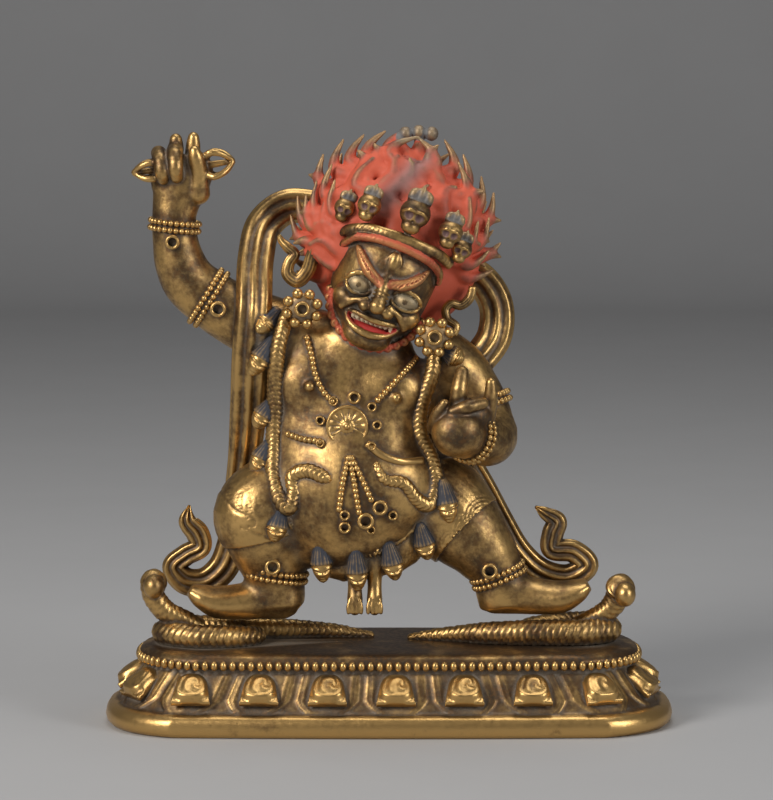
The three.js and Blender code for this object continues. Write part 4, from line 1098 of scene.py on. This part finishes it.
def plinth_walk(count):
    """Even steps round the plinth's foot: straight front and back, half ellipses at the ends."""
    straight = FOOT_HALF_WIDTH * STRAIGHT_SHARE
    end = FOOT_HALF_WIDTH - straight
    angle = np.arange(1440) / 1440 * 2 * np.pi - np.pi / 2
    sine = np.sin(angle)
    x = np.clip(np.cos(angle) * 3, -1, 1) * straight + end * np.cos(angle)
    y = FOOT_HALF_DEPTH * np.sign(sine) * np.abs(sine) ** 0.8
    loop = np.stack([np.append(x, x[0]), np.append(y, y[0])], -1)
    length = np.concatenate([[0], np.cumsum(np.linalg.norm(np.diff(loop, axis=0), axis=1))])
    marks = np.arange(count) / count * length[-1]
    return np.stack([np.interp(marks, length, loop[:, k]) / s
                     for k, s in ((0, FOOT_HALF_WIDTH), (1, FOOT_HALF_DEPTH))], -1)


def plinth_at(walk, inset, z):
    """Points of the plinth's outline drawn in by an inset at a height."""
    inset, z = np.broadcast_arrays(inset, z)
    return np.stack([
        walk[..., 0] * (FOOT_HALF_WIDTH - inset),
        walk[..., 1] * (FOOT_HALF_DEPTH - inset * 0.76),
        np.broadcast_to(z, walk.shape[:-1]),
    ], -1)


def build_plinth():
    columns = PETALS * COLUMNS_PER_PETAL
    walk = plinth_walk(columns)[None]
    tiers = [(2.2, 0.0), (1.2, 0.25), (0.3, 1.2), (0.0, 2.6), (0.3, 4.1), (1.0, 5.2), (2.2, 5.8), (3.6, 6.1)]
    slope = [(4.4 + 6.8 * share, 6.6 + 9.2 * share) for share in np.linspace(0, 1, 34)]
    neck = [(11.3, 16.2), (11.4, 16.8), (11.0, 17.2), (10.2, 17.6), (9.6, 18.2), (9.2, 19.0), (9.5, 19.8),
            (10.2, 20.5), (11.2, 21.0), (12.6, 21.25), (15, 21.4), (19, 21.5)]
    profile = np.array(tiers + slope + neck)
    inset, height = profile[:, :1], profile[:, 1:]
    column = (np.arange(columns)[None] / COLUMNS_PER_PETAL - PETAL_START / PETAL_PITCH) % 1
    across = np.abs((column + 0.5) % 1 - 0.5) * 2
    down = (height - 6.6) / 9.2
    relief = petal_relief(across, down) * ((height > 6.5) & (height < 15.9))
    rings = plinth_at(np.broadcast_to(walk, (len(profile), columns, 2)), inset - relief, height + 0 * relief)
    plinth = Piece("plinth", "lotus_base", gilding=0.5)
    bias = np.where(height < 6.0, 0.9, np.where(height > 16.9, 0.12, 0.4)) + 0 * relief
    plinth.add(capped(rings), gilding=np.concatenate([bias.ravel(), [0.5, 0.1]]))
    rim = plinth_walk(137)[None]
    spots = plinth_at(rim, 9.2, 18.4)[0]
    plinth.add(balls(spots, (1.0, 1.0, 1.35)), gilding=0.8)
    steps = plinth_walk(PETALS * 20)
    shift = round(PETAL_START / PETAL_PITCH * 20)
    for index in range(PETALS):
        here, after = (plinth_at(steps[(index * 20 + shift + k) % len(steps)], 7.4, 12.6) for k in (0, 1))
        plinth.add(petal_pad(here, unit(after - here)), gilding=0.85)


def petal_relief(across, down):
    """Height of a petal: across runs from its middle to its edge, down from its tip to its root."""
    edge = 0.86 - 0.5 * np.clip(0.34 - down, 0, 1) ** 1.4 * 3
    gap = across - edge
    line = np.exp(-((gap / 0.05) ** 2)) + 0.8 * np.exp(-(((gap + 0.17) / 0.045) ** 2))
    body = 0.9 / (1 + np.exp(gap / 0.03))
    return 0.55 * body + 0.35 * line - 0.15


def petal_pad(here, along):
    """The padded lobe of a petal, with an engraved curl."""
    slope = unit(np.array([along[1] * 0.82, -along[0] * 0.82, -0.57]))
    lift = np.cross(along, slope)
    lift = lift if lift[2] > 0 else -lift
    count = 26
    u = np.linspace(-1, 1, count)[:, None]
    v = np.linspace(-1, 1, count)[None]
    grid_u = np.sign(u) * np.abs(u) ** 0.8 + 0 * v
    grid_v = np.sign(v) * np.abs(v) ** 0.8 + 0 * u
    radius = (np.abs(grid_u) ** 2.7 + np.abs(grid_v) ** 2.7) ** (1 / 2.7)
    rise = np.clip(1 - radius**3.5, 0, 1) ** 0.55
    curl = np.cos(9 * np.hypot(grid_u * 1.2 - 0.35, grid_v - 0.0) + 2 * np.arctan2(grid_v, grid_u * 1.2 - 0.35))
    lip = np.exp(-(((radius - 0.84) / 0.08) ** 2)) * np.clip(0.35 + grid_v, 0, 1)
    height = 2.2 * rise + 0.13 * curl * (radius < 0.62) + 0.42 * lip
    top = (here + grid_v[..., None] * 5.0 * slope + grid_u[..., None] * 5.2 * along * (0.86 + 0.14 * grid_v[..., None])
           + height[..., None] * lift)
    bottom = top - (height[..., None] + 1.5) * lift
    points = np.vstack([top.reshape(-1, 3), bottom.reshape(-1, 3)])
    i, j = np.meshgrid(np.arange(count - 1), np.arange(count - 1), indexing="ij")
    quad = np.stack([i * count + j, i * count + j + 1, (i + 1) * count + j + 1, (i + 1) * count + j], -1).reshape(-1, 4)
    rim = np.concatenate([np.arange(count), np.arange(1, count) * count + count - 1,
                          (count - 1) * count + np.arange(count - 2, -1, -1), np.arange(count - 2, 0, -1) * count])
    nxt = np.roll(rim, -1)
    wall = np.stack([nxt, rim, rim + count * count, nxt + count * count], -1)
    quads = np.vstack([quad, quad[:, ::-1] + count * count, wall])
    return outward(points, quads, np.zeros((0, 3), int))


SERPENT_RIGHT = [
    (-4, 5, 21.8, 0.9), (-16, 5, 23.2, 2), (-30, 4, 23.8, 2.9), (-43, 3.5, 24.2, 3.2),
    (-54, 3.5, 24.3, 3.3), (-61, -3.5, 24.3, 3.3), (-54, -10.5, 24.3, 3.3), (-45, -11, 24.2, 3.2),
    (-38, -8, 23.8, 2.8), (-35, -3, 23.4, 2.2),
]
SERPENT_LEFT = [
    (5, 2, 21.8, 0.9), (16, -1, 23.2, 2), (28, -6, 24.4, 3.1), (42, -8.4, 25, 3.5),
    (53, -8, 25, 3.5), (59.6, -2.5, 25, 3.5), (53, 4.5, 25, 3.5), (44, 5, 24.6, 3.2),
    (36, 3, 24, 2.6),
]
SERPENT_NECKS = [
    [(-51, -4, 25.4, 2.4), (-55.4, -4.6, 27.8, 2.7), (-60.5, -5, 30.3, 3), (-63.8, -5.2, 35, 3),
     (-63.6, -6, 38.4, 3.6), (-63.3, -8, 40.6, 2.6)],
    [(51, -3, 26, 2.4), (55.4, -3.5, 28, 2.7), (59.5, -4, 30.6, 3), (62, -4.6, 34.4, 3.4),
     (62.6, -6, 37, 4), (63, -8, 38.6, 2.6)],
]


def build_serpents():
    serpents = Piece("trampled_serpents", "lotus_base", gilding=0.45)
    relief = scales(1.7, 0.5)
    for stations, steps in ((SERPENT_RIGHT, 300), (SERPENT_LEFT, 260)):
        serpents.add(sweep(stations, steps, 30, relief=relief, ends=(1.5, 1.5)))
    for stations in SERPENT_NECKS:
        serpents.add(sweep(stations, 60, 30, relief=scales(1.6, 0.35), ends=(0, 1.5)))
    for centre in ((-63.4, -8.4, 37.6), (63.6, -8.4, 35.4)):
        serpents.add(balls([centre], (2.9, 3.4, 3.3), columns=24, rows=16))


# Weathering: how deep each point lies among the forms round it, near and far.

class Room:
    """A grid over the whole object that says how full the space round a point is."""

    def __init__(self, pieces, voxel):
        points = np.vstack([piece.shape[0] for piece in pieces])
        margin = 10 * voxel
        clay = Clay(points.min(0) - margin, points.max(0) + margin, voxel, reach=3 * voxel)
        for piece in pieces:
            clay.shell(piece.shape, 0)
        self.start = clay.start
        self.voxel = voxel
        self.full = np.clip(0.5 - clay.field / (2 * voxel), 0, 1)

    def hollow(self, points, radius):
        """The share of filled space round each point, within about a radius."""
        reach = max(int(round(radius / self.voxel)), 1)
        block = self.full
        for axis in range(3):
            for _ in range(2):
                block = box_blur(block, axis, reach)
        place = points / self.voxel - self.start
        low = np.floor(place).astype(int)
        low = np.clip(low, 0, np.array(block.shape) - 2)
        part = place - low
        total = np.zeros(len(points))
        for corner in np.ndindex(2, 2, 2):
            weight = np.prod(np.where(corner, part, 1 - part), axis=1)
            i, j, k = (low + corner).T
            total += weight * block[i, j, k]
        return total


def box_blur(block, axis, reach):
    width = 2 * reach + 1
    pad = [(0, 0)] * 3
    pad[axis] = (reach + 1, reach)
    total = np.cumsum(np.pad(block, pad, mode="edge"), axis=axis, dtype=np.float32)
    ahead = np.take(total, range(width, total.shape[axis]), axis=axis)
    behind = np.take(total, range(0, total.shape[axis] - width), axis=axis)
    return (ahead - behind) / width


# Materials.

def node(tree, kind, **values):
    made = tree.nodes.new(kind)
    inputs = values.pop("inputs", {})
    for key, value in values.items():
        setattr(made, key, value)
    for key, value in inputs.items():
        if hasattr(value, "is_linked"):
            tree.links.new(value, made.inputs[key])
        else:
            made.inputs[key].default_value = value
    return made


def math_node(tree, operation, a, b=0.0, clamp=False):
    return node(tree, "ShaderNodeMath", operation=operation, use_clamp=clamp, inputs={0: a, 1: b}).outputs[0]


def ramp(tree, value, low, high):
    """0 below low, 1 above high, and smooth between."""
    made = node(tree, "ShaderNodeMapRange", interpolation_type="SMOOTHSTEP",
                inputs={"Value": value, "From Min": low, "From Max": high})
    return made.outputs[0]


def mix(tree, share, first, second):
    made = node(tree, "ShaderNodeMix", data_type="RGBA", inputs={0: share, 6: first, 7: second})
    return made.outputs[2]


def mix_value(tree, share, first, second):
    made = node(tree, "ShaderNodeMix", data_type="FLOAT", inputs={0: share, 2: first, 3: second})
    return made.outputs[0]


def noise(tree, place, per_mm, detail=4.0, roughness=0.6):
    made = node(tree, "ShaderNodeTexNoise", inputs={
        "Vector": place, "Scale": per_mm / MM, "Detail": detail, "Roughness": roughness})
    return made.outputs["Fac"]


def bronze(name, gold=(0.60, 0.375, 0.135, 1), brown=(0.15, 0.082, 0.036, 1), dust_colour=(0.20, 0.165, 0.125, 1)):
    """Worn fire gilding over brown bronze, dust in the hollows, and cold pigment, which in empty gem cups is painted
    shade.
    """
    material = bpy.data.materials.new(name)
    material.use_nodes = True
    tree = material.node_tree
    tree.nodes.clear()
    place = node(tree, "ShaderNodeTexCoord").outputs["Object"]
    wear = node(tree, "ShaderNodeSeparateColor", inputs={
        0: node(tree, "ShaderNodeAttribute", attribute_name="wear").outputs["Color"]})
    bias, fine, broad = wear.outputs
    # The layer of cold pigment, which also carries the painted shade inside empty gem cups.
    pigment_and_cup_shade = node(tree, "ShaderNodeAttribute", attribute_name="pigment_and_cup_shade")
    blotch = noise(tree, place, 0.11, 6, 0.62)
    speck = noise(tree, place, 0.8, 4)
    grit = noise(tree, place, 2.6, 3)
    exposure = math_node(tree, "MULTIPLY", math_node(tree, "SUBTRACT", 0.5, fine), 3.2)
    gilt = math_node(tree, "ADD", bias, exposure)
    gilt = math_node(tree, "ADD", gilt, math_node(tree, "MULTIPLY", math_node(tree, "SUBTRACT", blotch, 0.5), 2.4))
    gilt = math_node(tree, "ADD", gilt, math_node(tree, "MULTIPLY", math_node(tree, "SUBTRACT", speck, 0.5), 0.9))
    gilt = ramp(tree, gilt, 0.1, 1.0)
    deep = mix(tree, ramp(tree, speck, 0.35, 0.65), brown, (0.075, 0.055, 0.038, 1))
    metal = mix(tree, gilt, deep, gold)
    dusty = math_node(tree, "ADD", ramp(tree, broad, 0.52, 0.78), ramp(tree, fine, 0.52, 0.72))
    dusty = math_node(tree, "MULTIPLY", dusty, mix_value(tree, ramp(tree, grit, 0.3, 0.7), 0.35, 0.8), clamp=True)
    colour = mix(tree, dusty, metal, dust_colour)
    worn = ramp(tree, math_node(tree, "ADD", fine, math_node(tree, "MULTIPLY", speck, 0.16)), 0.43, 0.56)
    cover = math_node(tree, "MULTIPLY", pigment_and_cup_shade.outputs["Alpha"], mix_value(tree, worn, 0.55, 1.0))
    colour = mix(tree, cover, colour, pigment_and_cup_shade.outputs["Color"])
    soft = math_node(tree, "MAXIMUM", dusty, cover)
    metallic = mix_value(tree, soft, 0.92, 0.12)
    rough = mix_value(tree, gilt, 0.46, 0.33)
    rough = mix_value(tree, soft, rough, 0.62)
    rough = math_node(tree, "ADD", rough, math_node(tree, "MULTIPLY", math_node(tree, "SUBTRACT", speck, 0.5), 0.22))
    bump = node(tree, "ShaderNodeBump", inputs={
        "Strength": 0.5, "Distance": 0.12 * MM,
        "Height": math_node(tree, "ADD", speck, math_node(tree, "MULTIPLY", grit, 0.6))})
    shader = node(tree, "ShaderNodeBsdfPrincipled", inputs={
        "Base Color": colour, "Metallic": metallic, "Roughness": rough, "Normal": bump.outputs[0]})
    output = node(tree, "ShaderNodeOutputMaterial")
    tree.links.new(shader.outputs[0], output.inputs[0])
    return material


def plain(name, colour, roughness):
    material = bpy.data.materials.new(name)
    material.use_nodes = True
    tree = material.node_tree
    shader = tree.nodes["Principled BSDF"]
    place = node(tree, "ShaderNodeTexCoord").outputs["Object"]
    grain = noise(tree, place, 0.02, 3)
    dark = tuple(0.94 * c for c in colour[:3])
    tree.links.new(mix(tree, grain, (*dark, 1), colour), shader.inputs["Base Color"])
    shader.inputs["Roughness"].default_value = roughness
    return material


# Stage: the floor, the lights and the camera.

CAMERA_PLACE = (-0.7, -1000.0, 204.0)
CAMERA_DIP = math.radians(6.66)
FOCAL_LENGTH = 167.67


def build_stage():
    half, back, bend = 1500, 1500, 300
    profile = [(-2500, 0), (back - bend, 0)]
    profile += [(back - bend + bend * math.sin(a), bend - bend * math.cos(a)) for a in np.linspace(0.1, math.pi / 2, 16)]
    profile += [(back, 2200)]
    points = [(x, y, z) for x in (-half, half) for y, z in profile]
    count = len(profile)
    faces = [(i, i + count, i + count + 1, i + 1) for i in range(count - 1)]
    mesh = bpy.data.meshes.new("floor")
    mesh.from_pydata([tuple(c * MM for c in p) for p in points], [], faces)
    mesh.polygons.foreach_set("use_smooth", [True] * len(faces))
    floor = bpy.data.objects.new("floor", mesh)
    bpy.context.scene.collection.objects.link(floor)
    floor.data.materials.append(plain("pale_floor", (0.42, 0.42, 0.42, 1), 0.75))


def area_light(name, place, target, size, power, colour=(1, 1, 1)):
    light = bpy.data.lights.new(name, "AREA")
    light.shape = "RECTANGLE"
    light.size, light.size_y = (s * MM for s in size)
    light.energy = power
    light.color = colour
    made = bpy.data.objects.new(name, light)
    bpy.context.scene.collection.objects.link(made)
    made.location = [c * MM for c in place]
    direction = np.array(target, float) - np.array(place, float)
    made.rotation_euler = Vector(direction).to_track_quat("-Z", "Y").to_euler()


def build_lights():
    aim = (0, 0, 80)
    area_light("key", (-700, -700, 620), aim, (420, 520), 9.5, (1.0, 0.97, 0.94))
    area_light("fill", (860, -620, 420), aim, (320, 520), 4.5, (0.98, 0.99, 1.0))
    area_light("top", (40, 60, 1000), aim, (700, 420), 3.2)
    world = bpy.data.worlds.new("studio")
    world.use_nodes = True
    background = world.node_tree.nodes["Background"]
    background.inputs["Color"].default_value = (0.10, 0.10, 0.105, 1)
    background.inputs["Strength"].default_value = 1.0
    bpy.context.scene.world = world


def build_camera():
    camera = bpy.data.cameras.new("camera")
    camera.lens = FOCAL_LENGTH
    camera.sensor_width = 36
    camera.clip_start = 0.05
    camera.clip_end = 10
    made = bpy.data.objects.new("camera", camera)
    bpy.context.scene.collection.objects.link(made)
    made.location = [c * MM for c in CAMERA_PLACE]
    made.rotation_euler = (math.pi / 2 - CAMERA_DIP, 0, 0)
    bpy.context.scene.camera = made


# Everything in its order.

body = build_body()
skin = build_skin()
build_head()
build_hair()
build_scarf()
build_garland()
build_severed_heads()
build_jewellery(body)
build_ribbons()
build_right_hand()
build_left_hand()
build_plinth()
build_serpents()

for piece in Piece.made:
    piece.close()
room = Room(Piece.made, 0.6)
gilt_bronze = bronze("gilt_bronze")
worn_bronze = bronze("worn_bronze")
counts = {}
for piece in Piece.made:
    piece.weather(room)
    made = mesh_object(piece)
    made.data.materials.append(gilt_bronze if piece.node == "figure" else worn_bronze)
    counts[piece.name] = 2 * len(piece.shape[1]) + len(piece.shape[2])
    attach(made, "root")
    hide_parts(piece.node)
print("triangles", counts, sum(counts.values()))

build_stage()
build_lights()
build_camera()
bpy.context.scene.view_settings.view_transform = "Standard"
